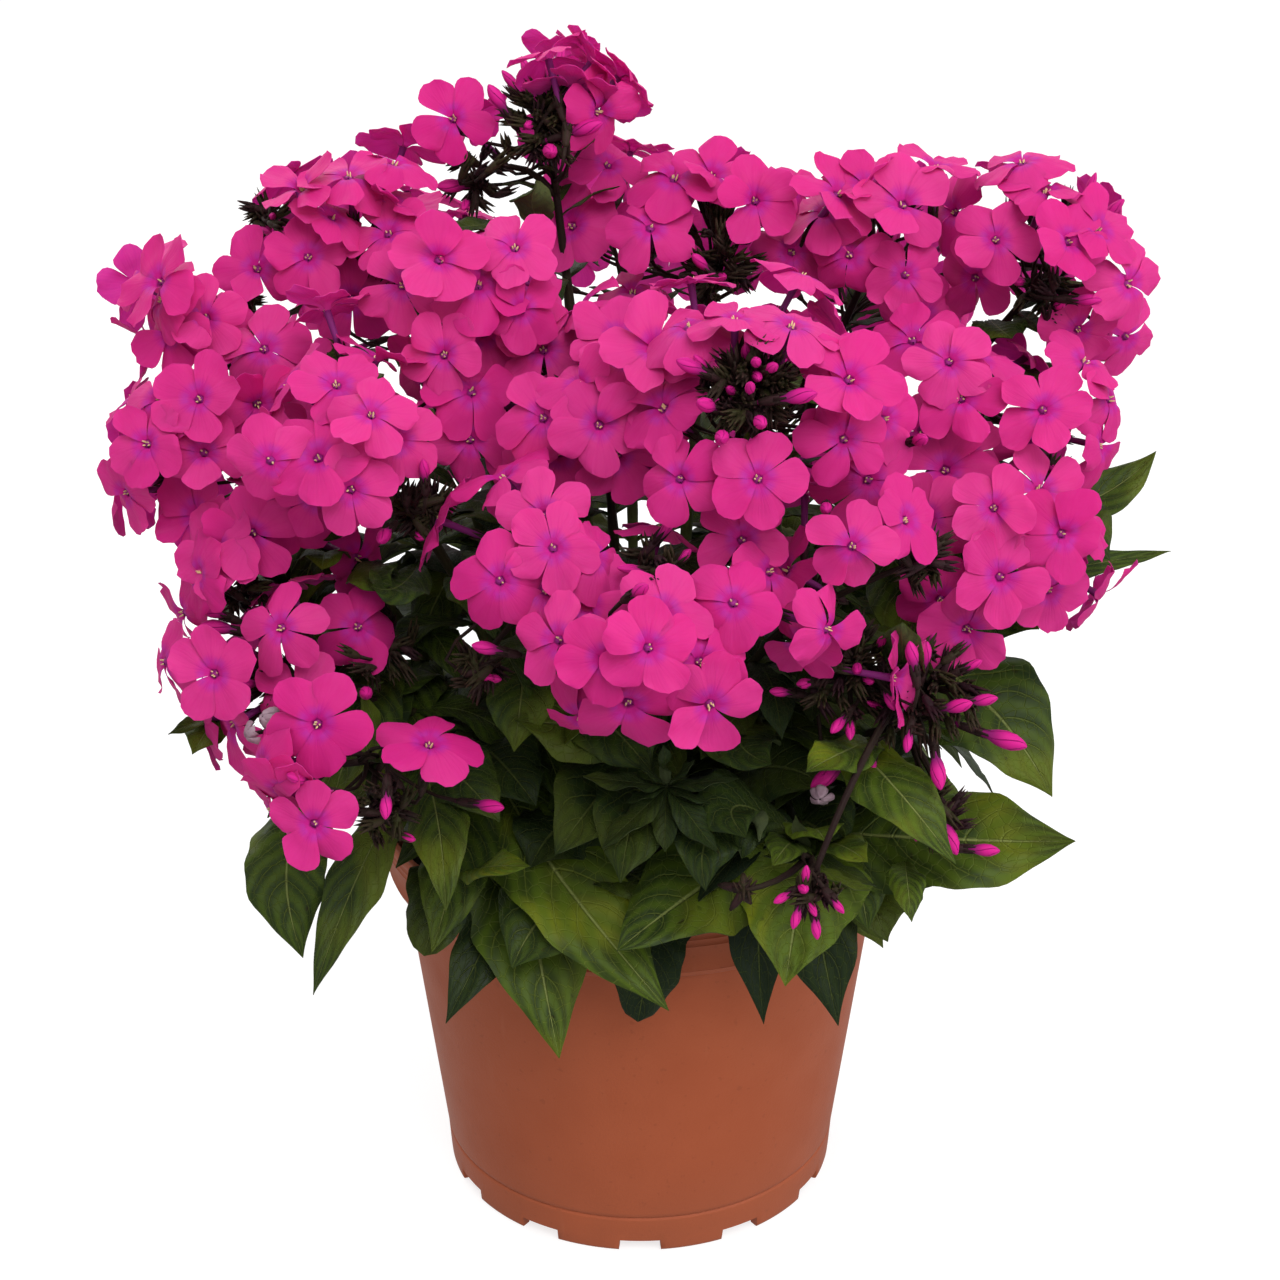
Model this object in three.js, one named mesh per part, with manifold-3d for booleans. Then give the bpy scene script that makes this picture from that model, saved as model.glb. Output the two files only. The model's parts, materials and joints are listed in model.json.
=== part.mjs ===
// A garden phlox in a round plastic nursery pot. Millimetres, +Z up.
// The origin is where the pot's axis meets the surface it stands on; -Y is the front.
import * as THREE from 'three';
import { mergeVertices } from 'three/addons/utils/BufferGeometryUtils.js';
import Module from 'manifold-3d';

const wasm = await Module();
wasm.setup();

// ---- Driving dimensions -------------------------------------------------------------------

const POT = {
  height: 146, lipRadius: 95, lipDrop: 3.5, lipStep: 1.3, bandDrop: 22, bandRadius: 92,
  bodyTopRadius: 87.5, creaseHeight: 15, creaseRadius: 74, footRadius: 73, wall: 1.8,
  floorHeight: 5.5, floorThickness: 2, sides: 32,
};
const NOTCH = { count: 12, width: 15, height: 4.5 };
const DRAIN = { count: 4, radius: 5, ring: 45, sides: 6 };
const SOIL = { top: 130, crown: 4, gap: 0.4, sides: 18, holeDepth: 12, holeGap: 0.4 };
const STEM = { radius: 2.3, tipRadius: 1.5, sides: 4, steps: 3, crownRadius: 20, spread: 0.26,
  branchAt: 0.3 };
const STALK = { length: 30, gap: 0.4, radius: 1.2 };
const CORE_RADIUS = 10;
const FLORET = { radius: 16, throat: 1.6, droop: 1.2, tube: 20, calyxRadius: 2, neckRadius: 1.3 };
const PETAL = { count: 5, halfAngle: 19, notch: 0.62 };
const BUD = { length: 27, radius: 1.9, belt: 0.65, few: 5, many: 8 };
const LEAF = { thickness: 1.8, fold: 0.17 };
const LARGE_BLADE = { stations: [0, 0.22, 0.48, 0.76], fullness: [0.16, 0.78, 1, 0.66] };
const SMALL_BLADE = { stations: [0, 0.3, 0.66], fullness: [0.2, 1, 0.8] };
const FRONT_TILT = THREE.MathUtils.degToRad(22.5);
const SHORTEST_EDGE = 0.03;
const SEED = 4711;

// Each flower head: the middle of its dome, the dome's radius, and its florets as the front shows
// them: millimetres right of and above the middle, seen from FRONT_TILT above the horizon.
// bare: half-angle of the unopened middle, in degrees. fill: florets tried on the far side.
const HEADS = {
  top: { at: [-31, 20, 386], dome: 32, bare: 50, fill: 3,
    florets: [[-29, 2], [0, 22], [23, 15], [17, 2]] },
  upper_left: { at: [-98, 5, 355], dome: 36, bare: 0, fill: 3,
    florets: [[-22, 13], [-4, 17], [18, 24], [-30, -12], [-8, -6], [20, 2]] },
  far_left: { from: 'upper_left', at: [-145, -15, 340], dome: 30, bare: 0, fill: 3, florets: [[-15, 4], [-5, -13]] },
  left: { at: [-140, -45, 296], dome: 36, bare: 0, fill: 1,
    florets: [[-15, 0], [8, 0], [6, 24], [-14, 20], [-22, -17], [26, 13]] },
  left_inner: { at: [-92, -75, 309], dome: 38, bare: 0, fill: 1,
    florets: [[-22, 24], [5, -20], [14, 8], [-8, 12], [-18, -12], [33, -2]] },
  left_lower: { from: 'left', at: [-127, -60, 262], dome: 32, bare: 0, fill: 1, florets: [[4, 6], [-14, -6]] },
  low_left_outer: { from: 'left_inner', at: [-112, -90, 232], dome: 32, bare: 40, fill: 1,
    florets: [[-30, -2], [-16, -9], [3, 8], [27, 9]] },
  low_left: { from: 'left_inner', at: [-90, -122, 218], dome: 34, bare: 0, fill: 1,
    florets: [[-3, 13], [31, 2], [-5, -21], [-22, 2]] },
  middle_left: { at: [-54, -30, 335], dome: 36, bare: 0, fill: 2,
    florets: [[-10, 26], [17, 17], [-8, -6], [25, -4]] },
  middle: { at: [-12, -60, 314], dome: 38, bare: 0, fill: 1,
    florets: [[0, 0], [19, -3], [6, 24], [-18, -14], [-16, 12]] },
  middle_low: { from: 'middle', at: [-30, -105, 276], dome: 36, bare: 0, fill: 1,
    florets: [[-14, -6], [10, 2], [18, -16], [-2, 16]] },
  front: { at: [33, -90, 323], dome: 42, bare: 36, fill: 2,
    florets: [[-21, -25], [4, -24], [35, -24], [27, 2], [33, -10], [15, 25], [-9, 27], [-31, 14]] },
  front_low: { from: 'front', at: [-1, -130, 262], dome: 38, bare: 0, fill: 1,
    florets: [[3, -2], [28, 10], [22, -20], [-18, -6], [30, 29], [-8, -24], [5, 20]] },
  upper_middle: { at: [26, 20, 345], dome: 36, bare: 38, fill: 3,
    florets: [[-28, 2], [-14, 23], [14, 19], [29, -2]] },
  upper_right: { at: [81, 10, 349], dome: 36, bare: 30, fill: 3,
    florets: [[-10, 26], [10, 17], [15, -17], [-16, 8]] },
  right_top: { at: [141, 0, 347], dome: 36, bare: 34, fill: 3,
    florets: [[-22, 5], [8, 4], [-6, 26], [28, -10], [20, -26]] },
  right: { from: 'right_top', at: [110, -40, 308], dome: 38, bare: 0, fill: 1,
    florets: [[-6, 0], [21, -3], [-22, -11], [-14, 17], [33, 8]] },
  right_low: { at: [114, -70, 268], dome: 36, bare: 0, fill: 1,
    florets: [[-2, 14], [24, 9], [2, -8], [-15, -20]] },
  front_right: { from: 'front', at: [58, -112, 272], dome: 32, bare: 0, fill: 1, florets: [[9, 4], [-2, -19]] },
  buds_right: { from: 'right_low', at: [90, -108, 228], dome: 24, bare: 100, fill: 0, florets: [] },
  buds_inner: { from: 'front', at: [62, -104, 240], dome: 22, bare: 100, fill: 0, florets: [] },
  buds_low: { from: 'right_low', at: [53, -146, 192], dome: 18, bare: 100, fill: 0, florets: [] },
  back: { at: [-5, 118, 322], dome: 40, bare: 30, fill: 12, florets: [] },
  back_left: { at: [-84, 84, 312], dome: 40, bare: 0, fill: 12, florets: [] },
  back_right: { at: [84, 84, 316], dome: 40, bare: 30, fill: 12, florets: [] },
  back_low_left: { from: 'back_left', at: [-48, 128, 250], dome: 36, bare: 0, fill: 12, florets: [] },
  back_low_right: { from: 'back_right', at: [58, 126, 254], dome: 36, bare: 0, fill: 12, florets: [] },
};

// Large leaves, from the stem outwards: the shoulder that the midrib arches over, the tip and the
// full width. The root runs on from the shoulder into the nearest stem.
const LARGE_LEAVES = [
  { shoulder: [-96, -88, 196], tip: [-106, -128, 152], width: 25 },
  { shoulder: [-76, -96, 190], tip: [-102, -132, 143], width: 17 },
  { shoulder: [-58, -108, 203], tip: [-59, -138, 176], width: 15 },
  { shoulder: [-50, -90, 178], tip: [-72, -118, 152], width: 17 },
  { shoulder: [-45, -94, 160], tip: [-63, -112, 120], width: 18 },
  { shoulder: [-36, -96, 172], tip: [-26, -120, 112], width: 33 },
  { shoulder: [-30, -98, 178], tip: [9, -130, 136], width: 28 },
  { shoulder: [20, -100, 172], tip: [-7, -134, 160], width: 26 },
  { shoulder: [27, -96, 182], tip: [42, -114, 121], width: 20 },
  { shoulder: [48, -92, 176], tip: [66, -115, 121], width: 20 },
  { shoulder: [51, -104, 183], tip: [45, -135, 148], width: 33 },
  { shoulder: [89, -99, 178], tip: [136, -113, 188], width: 31 },
  { shoulder: [110, -66, 226], tip: [134, -82, 187], width: 30 },
  { shoulder: [86, -82, 194], tip: [114, -88, 174], width: 20 },
  { shoulder: [68, -88, 160], tip: [86, -93, 128], width: 17 },
  { shoulder: [152, -10, 262], tip: [176, -5, 280], width: 14 },
  { shoulder: [146, -24, 240], tip: [180, -22, 248], width: 15 },
  { shoulder: [122, -48, 244], tip: [150, -58, 232], width: 22 },
  { shoulder: [-116, -76, 188], tip: [-144, -96, 192], width: 12 },
  { shoulder: [-12, -100, 214], tip: [-38, -112, 228], width: 26 },
  { shoulder: [-30, -92, 220], tip: [-40, -108, 248], width: 18 },
  { shoulder: [24, -100, 214], tip: [40, -118, 216], width: 20 },
  { shoulder: [18, -104, 206], tip: [32, -132, 198], width: 20 },
  { shoulder: [2, -106, 204], tip: [-6, -138, 186], width: 22 },
  { shoulder: [-8, -102, 204], tip: [-26, -128, 190], width: 24 },
  { shoulder: [12, -108, 202], tip: [20, -136, 182], width: 18 },
];

// Leaf pairs: how far up a stem they sit, how far they turn from outwards, and the blade's size.
const PAIRED = {
  along: 0.52, spread: [35, 75], length: [50, 64], width: [22, 27], rise: 0.25, drop: [0.1, 0.5],
  leastReach: 80, front: -60,
};

// ---- Small helpers --------------------------------------------------------------------------

let seed = SEED;
function random(low = 0, high = 1) {
  seed = (seed * 16807) % 2147483647;
  return low + (high - low) * (seed / 2147483647);
}

const vec = (p) => new THREE.Vector3(...p);
const mix = (a, b, t) => a.clone().lerp(b, t);
const polar = (r, degrees, z = 0) => {
  const angle = THREE.MathUtils.degToRad(degrees);
  return new THREE.Vector3(r * Math.cos(angle), r * Math.sin(angle), z);
};

function solidFromGeometry(geometry) {
  const bare = geometry.index ? geometry.clone() : geometry;
  bare.deleteAttribute('normal');
  bare.deleteAttribute('uv');
  const merged = mergeVertices(bare, 1e-4);
  return new wasm.Manifold(new wasm.Mesh({
    numProp: 3,
    vertProperties: new Float32Array(merged.attributes.position.array),
    triVerts: new Uint32Array(merged.index.array),
  }));
}

function solidFromFaces(points, faces) {
  const geometry = new THREE.BufferGeometry();
  geometry.setAttribute('position', new THREE.Float32BufferAttribute(points.flatMap((p) => p.toArray()), 3));
  geometry.setIndex(faces.flat());
  return solidFromGeometry(geometry);
}

const join = (solids) => wasm.Manifold.union(solids);
const crosses = (a, b) => a.intersect(b).volume() > 1e-3;

function meshFrom(name, solid, colour, roughness) {
  const { vertProperties, triVerts } = solid.simplify(SHORTEST_EDGE).getMesh();
  const geometry = new THREE.BufferGeometry();
  geometry.setAttribute('position', new THREE.BufferAttribute(vertProperties, 3));
  geometry.setIndex(new THREE.BufferAttribute(triVerts, 1));
  geometry.computeVertexNormals();
  const material = new THREE.MeshStandardMaterial({ color: colour, roughness, metalness: 0 });
  const mesh = new THREE.Mesh(geometry, material);
  mesh.name = name;
  return mesh;
}

// A rod with a few flat sides through the points, with a radius at each, closed at both ends.
function rod(points, radii, sides) {
  const vertices = [];
  const faces = [];
  points.forEach((point, i) => {
    const ahead = points[Math.min(i + 1, points.length - 1)].clone();
    const along = ahead.sub(points[Math.max(i - 1, 0)]).normalize();
    const across = new THREE.Vector3(0, 1, 0).cross(along);
    if (across.lengthSq() < 1e-4) across.set(1, 0, 0).cross(along);
    across.normalize();
    const over = along.clone().cross(across);
    for (let s = 0; s < sides; s += 1) {
      const angle = (2 * Math.PI * s) / sides;
      vertices.push(point.clone().addScaledVector(across, radii[i] * Math.cos(angle))
        .addScaledVector(over, radii[i] * Math.sin(angle)));
    }
  });
  for (let i = 0; i + 1 < points.length; i += 1) {
    for (let s = 0; s < sides; s += 1) {
      const [a, b] = [i * sides + s, i * sides + ((s + 1) % sides)];
      faces.push([a, b, b + sides], [a, b + sides, a + sides]);
    }
  }
  const last = (points.length - 1) * sides;
  for (let s = 1; s + 1 < sides; s += 1) {
    faces.push([0, s + 1, s], [last, last + s, last + s + 1]);
  }
  return solidFromFaces(vertices, faces);
}

// ---- Pot and soil ---------------------------------------------------------------------------

function bodyRadius(z) {
  const t = (z - POT.creaseHeight) / (POT.height - POT.bandDrop - POT.creaseHeight);
  return THREE.MathUtils.lerp(POT.creaseRadius, POT.bodyTopRadius, t);
}

function insideRadius(z) {
  return Math.min(bodyRadius(Math.max(z, POT.creaseHeight)) - POT.wall, POT.bandRadius - POT.wall);
}

function potSolid() {
  const band = POT.height - POT.bandDrop;
  const floorTop = POT.floorHeight + POT.floorThickness;
  const profile = [
    [0, POT.floorHeight],
    [POT.footRadius - 2.5 * POT.wall, POT.floorHeight],
    [POT.footRadius - 2.2 * POT.wall, 0],
    [POT.footRadius - 0.6, 0],
    [POT.footRadius, 1.2],
    [POT.creaseRadius, POT.creaseHeight],
    [POT.bodyTopRadius, band],
    [POT.bandRadius, band + 1.2],
    [POT.lipRadius - POT.lipStep, POT.height - POT.lipDrop],
    [POT.lipRadius, POT.height - POT.lipDrop + 0.8],
    [POT.lipRadius, POT.height],
    [POT.lipRadius - POT.lipStep - POT.wall, POT.height],
    [insideRadius(band), band],
    [insideRadius(floorTop), floorTop],
    [0, floorTop],
  ];
  const lathe = new THREE.LatheGeometry(profile.map(([r, z]) => new THREE.Vector2(r, z)), POT.sides);
  lathe.rotateX(Math.PI / 2);
  let pot = solidFromGeometry(lathe);
  const cuts = [];
  for (let k = 0; k < NOTCH.count; k += 1) {
    const box = new THREE.BoxGeometry(16, NOTCH.width, 2 * NOTCH.height);
    box.translate(POT.footRadius, 0, 0);
    box.rotateZ((2 * Math.PI * k) / NOTCH.count - Math.PI / 2);
    cuts.push(solidFromGeometry(box));
  }
  for (let k = 0; k < DRAIN.count; k += 1) {
    const hole = new THREE.CylinderGeometry(DRAIN.radius, DRAIN.radius, 3 * POT.floorThickness,
      DRAIN.sides);
    hole.rotateX(Math.PI / 2);
    const centre = polar(DRAIN.ring, (360 * k) / DRAIN.count, POT.floorHeight + POT.floorThickness / 2);
    hole.translate(...centre.toArray());
    cuts.push(solidFromGeometry(hole));
  }
  pot = pot.subtract(join(cuts));
  return pot;
}

function soilSolid(holes) {
  const low = POT.floorHeight + POT.floorThickness + SOIL.gap;
  const band = POT.height - POT.bandDrop;
  const rim = SOIL.top - SOIL.crown;
  const outer = insideRadius(band) - SOIL.gap;
  const profile = [
    [0, low], [insideRadius(low) - SOIL.gap, low], [outer, band], [outer, rim],
    [outer * 0.62, SOIL.top - 1], [0, SOIL.top],
  ];
  const lathe = new THREE.LatheGeometry(profile.map(([r, z]) => new THREE.Vector2(r, z)), SOIL.sides);
  lathe.rotateX(Math.PI / 2);
  return solidFromGeometry(lathe).subtract(join(holes));
}

// ---- Stems ----------------------------------------------------------------------------------

// A stem leaves the soil, or another stem where the head says which, and bends towards its head.
function stemCurve(head, earlier) {
  const hub = vec(head.at);
  const out = Math.hypot(hub.x, hub.y);
  const parent = earlier.find((stem) => stem.name === head.from);
  let foot = new THREE.Vector3(hub.x, hub.y, 0).multiplyScalar(STEM.spread + STEM.crownRadius / (out + 60));
  foot.z = SOIL.top - SOIL.holeDepth;
  if (parent) foot = parent.curve.getPoint(STEM.branchAt);
  const bend = mix(foot, hub, parent ? 0.45 : 0.1);
  bend.z = mix(foot, hub, 0.55).z;
  const approach = hub.clone().sub(bend).normalize();
  const end = hub.clone().addScaledVector(approach, -STALK.length);
  return { curve: new THREE.QuadraticBezierCurve3(foot, bend, end), end, approach, hub, rooted: !parent };
}

function stemSolid(curve, extra = 0) {
  const points = curve.getPoints(STEM.steps);
  const radii = points.map((p, i) => {
    const t = i / STEM.steps;
    return extra + THREE.MathUtils.lerp(STEM.radius, STEM.tipRadius, t);
  });
  return rod(points, radii, STEM.sides);
}

function stemHole(curve) {
  const foot = curve.getPoint(0);
  const above = curve.getPoint(1 / STEM.steps);
  foot.addScaledVector(above.clone().sub(foot).normalize(), -SOIL.holeGap);
  const radius = STEM.radius + SOIL.holeGap * 1.5;
  return rod([foot, above], [radius, radius], STEM.sides);
}

// ---- Leaves ---------------------------------------------------------------------------------

// A pointed, slightly folded blade along a curve, thick at the midrib and thin at its edges.
function leafSolid(curve, width, { stations, fullness }) {
  const vertices = [];
  stations.forEach((t, i) => {
    const point = curve.getPoint(t);
    const along = curve.getTangent(t);
    const side = along.clone().cross(new THREE.Vector3(0, 0, 1));
    if (side.lengthSq() < 1e-3) side.set(1, 0, 0);
    side.normalize();
    const up = side.clone().cross(along).normalize();
    const half = (width / 2) * fullness[i];
    const lift = half * LEAF.fold;
    vertices.push(point.clone().addScaledVector(side, -half).addScaledVector(up, lift));
    vertices.push(point.clone().addScaledVector(up, LEAF.thickness / 2));
    vertices.push(point.clone().addScaledVector(side, half).addScaledVector(up, lift));
    vertices.push(point.clone().addScaledVector(up, -LEAF.thickness / 2));
  });
  vertices.push(curve.getPoint(1));
  const faces = [[0, 2, 1], [0, 3, 2]];
  const tip = vertices.length - 1;
  for (let i = 0; i < stations.length; i += 1) {
    for (let s = 0; s < 4; s += 1) {
      const [a, b] = [i * 4 + s, i * 4 + ((s + 1) % 4)];
      if (i + 1 === stations.length) faces.push([a, b, tip]);
      else faces.push([a, b, b + 4], [a, b + 4, a + 4]);
    }
  }
  return solidFromFaces(vertices, faces);
}

function nearestOnStems(point, stems) {
  let best = null;
  for (const stem of stems) {
    for (let i = 2; i <= 20; i += 1) {
      const candidate = stem.curve.getPoint(i / 20);
      const distance = candidate.distanceTo(point) + Math.max(0, candidate.z - point.z);
      if (!best || distance < best.distance) best = { candidate, distance };
    }
  }
  return best.candidate;
}

function largeLeaf({ shoulder, tip, width }, stems) {
  const top = vec(shoulder);
  const root = nearestOnStems(top, stems);
  const curve = new THREE.QuadraticBezierCurve3(root, top.lerp(root, 0.1), vec(tip));
  return leafSolid(curve, width, LARGE_BLADE);
}

// Two leaves that spread outwards from a stem. The front stems carry the large leaves instead.
function pairedLeaves(stem) {
  const { hub } = stem;
  if (hub.y < PAIRED.front || Math.hypot(hub.x, hub.y) < PAIRED.leastReach) return [];
  const outward = THREE.MathUtils.radToDeg(Math.atan2(hub.y, hub.x));
  const root = stem.curve.getPoint(PAIRED.along);
  return [-1, 1].map((side) => {
    const azimuth = outward + side * random(...PAIRED.spread);
    const length = random(...PAIRED.length);
    const tip = root.clone().add(polar(length, azimuth, -length * random(...PAIRED.drop)));
    const top = root.clone().add(polar(length * 0.5, azimuth, length * PAIRED.rise));
    const curve = new THREE.QuadraticBezierCurve3(root, top, tip);
    return leafSolid(curve, random(...PAIRED.width), SMALL_BLADE);
  });
}

// ---- Flower heads ---------------------------------------------------------------------------

// One floret on the Z axis: flat five-lobed face at z = 0, slim tube, and calyx tapering to its root.
function floretSolid(reach) {
  const vertices = [];
  const rings = [[-FLORET.tube, FLORET.calyxRadius], [-3, FLORET.neckRadius]];
  rings.forEach(([z, r]) => {
    for (let s = 0; s < 3; s += 1) vertices.push(polar(r, s * 120, z));
  });
  const rim = vertices.length;
  for (let petal = 0; petal < PETAL.count; petal += 1) {
    const middle = (petal * 360) / PETAL.count;
    vertices.push(polar(FLORET.radius * PETAL.notch, middle - 180 / PETAL.count, -0.3));
    vertices.push(polar(FLORET.radius, middle - PETAL.halfAngle, -FLORET.droop));
    vertices.push(polar(FLORET.radius, middle + PETAL.halfAngle, -FLORET.droop));
  }
  const throat = vertices.length;
  const root = throat + 1;
  vertices.push(new THREE.Vector3(0, 0, -FLORET.throat), new THREE.Vector3(0, 0, -reach));
  const neck = 3;
  const faces = [];
  for (let s = 0; s < 3; s += 1) {
    const next = (s + 1) % 3;
    faces.push([root, next, s], [s, next, neck + next], [s, neck + next, neck + s]);
  }
  const points = PETAL.count * 3;
  for (let i = 0; i < points; i += 1) {
    const next = (i + 1) % points;
    const corner = Math.round((i * 3) / points) % 3;
    const nextCorner = Math.round((next * 3) / points + (next === 0 ? 3 : 0)) % 3;
    faces.push([rim + i, rim + next, throat], [neck + corner, rim + next, rim + i]);
    if (corner !== nextCorner) faces.push([neck + corner, neck + nextCorner, rim + next]);
  }
  return solidFromFaces(vertices, faces);
}

function budSolid(length) {
  const tip = new THREE.Vector3(0, 0, length);
  const belt = [0, 120, 240].map((a) => polar(BUD.radius, a, length * BUD.belt));
  const faces = [[0, 1, 4], [1, 2, 4], [2, 0, 4], [1, 0, 3], [2, 1, 3], [0, 2, 3]];
  return solidFromFaces([...belt, new THREE.Vector3(), tip], faces);
}

// Turns a solid built along +Z to stand on a point and run along a direction.
function placed(solid, origin, direction, spin) {
  const turn = new THREE.Quaternion().setFromUnitVectors(new THREE.Vector3(0, 0, 1), direction);
  const matrix = new THREE.Matrix4().makeRotationFromQuaternion(turn);
  matrix.multiply(new THREE.Matrix4().makeRotationZ(spin)).setPosition(origin);
  return solid.transform(matrix.elements);
}

// The turn that points a notch between two petals at the nearest floret, so that they interleave.
function notchTurn(point, out, points) {
  const others = points.filter((other) => other !== point);
  if (!others.length) return 0;
  const nearest = others.reduce((a, b) => (a.distanceTo(point) < b.distanceTo(point) ? a : b));
  const level = new THREE.Quaternion().setFromUnitVectors(out, new THREE.Vector3(0, 0, 1));
  const way = nearest.clone().sub(point).applyQuaternion(level);
  return Math.atan2(way.y, way.x) - Math.PI / PETAL.count;
}

function seenPoint(head, [right, up]) {
  const flat = Math.hypot(right, up);
  const toward = Math.sqrt(Math.max(head.dome ** 2 - flat ** 2, (0.3 * head.dome) ** 2));
  return vec(head.at).add(new THREE.Vector3(
    right,
    up * Math.sin(FRONT_TILT) - toward * Math.cos(FRONT_TILT),
    up * Math.cos(FRONT_TILT) + toward * Math.sin(FRONT_TILT),
  ));
}

const GOLDEN_ANGLE = 137.508;
const SPACING = { sameHead: 34, otherHead: 28, stem: 15 };

// The far side of a dome: points by the golden angle, where nothing stands in the way.
function farPoints(head, axis, taken, others, stems) {
  const found = [];
  const frontwards = new THREE.Vector3(0, -Math.cos(FRONT_TILT), Math.sin(FRONT_TILT));
  const turn = new THREE.Quaternion().setFromUnitVectors(new THREE.Vector3(0, 0, 1), axis);
  for (let k = 0; k < head.fill; k += 1) {
    const slope = 105 * Math.sqrt((k + 0.5) / head.fill);
    if (slope < head.bare) continue;
    const out = polar(Math.sin(THREE.MathUtils.degToRad(slope)), k * GOLDEN_ANGLE,
      Math.cos(THREE.MathUtils.degToRad(slope))).applyQuaternion(turn);
    if (head.florets.length && out.dot(frontwards) > 0) continue;
    const point = vec(head.at).addScaledVector(out, head.dome);
    const near = (list, gap) => list.some((other) => other.distanceTo(point) < gap);
    if (near([...taken, ...found], SPACING.sameHead) || near(others, SPACING.otherHead)) continue;
    const stemPoints = stems.flatMap((stem) => stem.curve.getPoints(24));
    if (near(stemPoints, SPACING.stem)) continue;
    found.push(point);
  }
  return found;
}

function headSolid(stem, points, head) {
  const hub = stem.hub;
  const start = stem.end.clone().addScaledVector(stem.approach, STALK.gap);
  const core = new THREE.OctahedronGeometry(CORE_RADIUS);
  core.translate(...hub.toArray());
  const pieces = [
    rod([start, hub], [STALK.radius, STALK.radius * 1.3], 3),
    solidFromGeometry(core),
  ];
  for (const point of points) {
    const out = point.clone().sub(hub);
    const reach = out.length();
    out.normalize();
    pieces.push(placed(floretSolid(reach), point, out, notchTurn(point, out, points)));
  }
  if (head.bare) {
    const turn = new THREE.Quaternion().setFromUnitVectors(new THREE.Vector3(0, 0, 1), stem.approach);
    const count = head.bare > 90 ? BUD.many : BUD.few;
    for (let k = 0; k < count; k += 1) {
      const slope = (head.bare > 90 ? 85 : head.bare * 0.7) * Math.sqrt((k + 0.5) / count);
      const out = polar(Math.sin(THREE.MathUtils.degToRad(slope)), k * GOLDEN_ANGLE,
        Math.cos(THREE.MathUtils.degToRad(slope))).applyQuaternion(turn);
      pieces.push(placed(budSolid(BUD.length * random(0.85, 1.15)), hub, out, 0));
    }
  }
  return join(pieces);
}

// ---- Assembly -------------------------------------------------------------------------------

// Fuses every set of solids that cross into one, and gives each a name from its first member.
function fuseCrossing(named) {
  const groups = [];
  for (const [name, solid] of named) {
    const touching = groups.filter((group) => crosses(group.solid, solid));
    const merged = { name: touching.length ? touching[0].name : name,
      solid: join([...touching.map((group) => group.solid), solid]) };
    for (const group of touching) groups.splice(groups.indexOf(group), 1);
    groups.push(merged);
  }
  return groups;
}

const stems = [];
for (const [name, head] of Object.entries(HEADS)) {
  stems.push({ name, head, ...stemCurve(head, stems) });
}

const headPoints = {};
stems.forEach((stem) => {
  headPoints[stem.name] = stem.head.florets.map((offset) => seenPoint(stem.head, offset));
});
stems.forEach((stem) => {
  const own = headPoints[stem.name];
  const others = Object.entries(headPoints).filter(([name]) => name !== stem.name).flatMap(([, p]) => p);
  const otherStems = stems.filter((other) => other !== stem);
  own.push(...farPoints(stem.head, stem.approach, own, others, otherStems));
});

const heads = fuseCrossing(stems.map((stem) => [
  `head_${stem.name}`, headSolid(stem, headPoints[stem.name], stem.head),
]));

const leafyStems = stems.map((stem) => [
  `leafy_stem_${stem.name}`,
  join([stemSolid(stem.curve), ...pairedLeaves(stem)]),
]);
const large = LARGE_LEAVES.map((leaf) => largeLeaf(leaf, stems));
const foliage = fuseCrossing([...leafyStems, ...large.map((leaf, index) => [`leaf_${index}`, leaf])]);

const phlox = new THREE.Group();
export default phlox;
phlox.add(meshFrom('pot', potSolid(), 0xa15638, 0.55));
phlox.add(meshFrom('soil', soilSolid(stems.filter((stem) => stem.rooted).map((stem) => stemHole(stem.curve))), 0x2b201a, 1));
for (const { name, solid } of foliage) phlox.add(meshFrom(name, solid, 0x3a4b1c, 0.6));
for (const { name, solid } of heads) phlox.add(meshFrom(name, solid, 0xd53288, 0.6));
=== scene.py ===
"""A garden phlox in full flower in its plastic nursery pot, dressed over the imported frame.

Lengths in the tables are millimetres, as on the real plant, and become metres in Pile.make.
+Z is up, -Y is the front, and the origin is where the pot's axis meets the floor.
"""
import json
import math

import bpy
import numpy as np
from mathutils import Matrix, Vector

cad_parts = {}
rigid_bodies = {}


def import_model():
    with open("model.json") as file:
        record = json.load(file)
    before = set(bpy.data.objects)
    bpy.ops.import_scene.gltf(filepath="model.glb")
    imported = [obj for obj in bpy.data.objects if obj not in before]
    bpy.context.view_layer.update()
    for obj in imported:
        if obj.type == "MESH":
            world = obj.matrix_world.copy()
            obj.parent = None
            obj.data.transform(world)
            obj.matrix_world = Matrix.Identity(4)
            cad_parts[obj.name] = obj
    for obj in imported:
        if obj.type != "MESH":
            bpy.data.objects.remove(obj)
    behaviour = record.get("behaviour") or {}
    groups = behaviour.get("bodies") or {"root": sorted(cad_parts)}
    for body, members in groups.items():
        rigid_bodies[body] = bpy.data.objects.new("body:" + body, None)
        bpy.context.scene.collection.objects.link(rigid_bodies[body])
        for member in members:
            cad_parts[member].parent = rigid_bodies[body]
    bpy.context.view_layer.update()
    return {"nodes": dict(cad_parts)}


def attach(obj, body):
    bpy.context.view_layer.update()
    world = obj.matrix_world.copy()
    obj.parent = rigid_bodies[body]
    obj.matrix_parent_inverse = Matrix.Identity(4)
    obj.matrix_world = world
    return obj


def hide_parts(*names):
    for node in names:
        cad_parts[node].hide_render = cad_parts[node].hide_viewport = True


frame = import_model()

# ---- Driving dimensions, in millimetres ----------------------------------------------------

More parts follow.
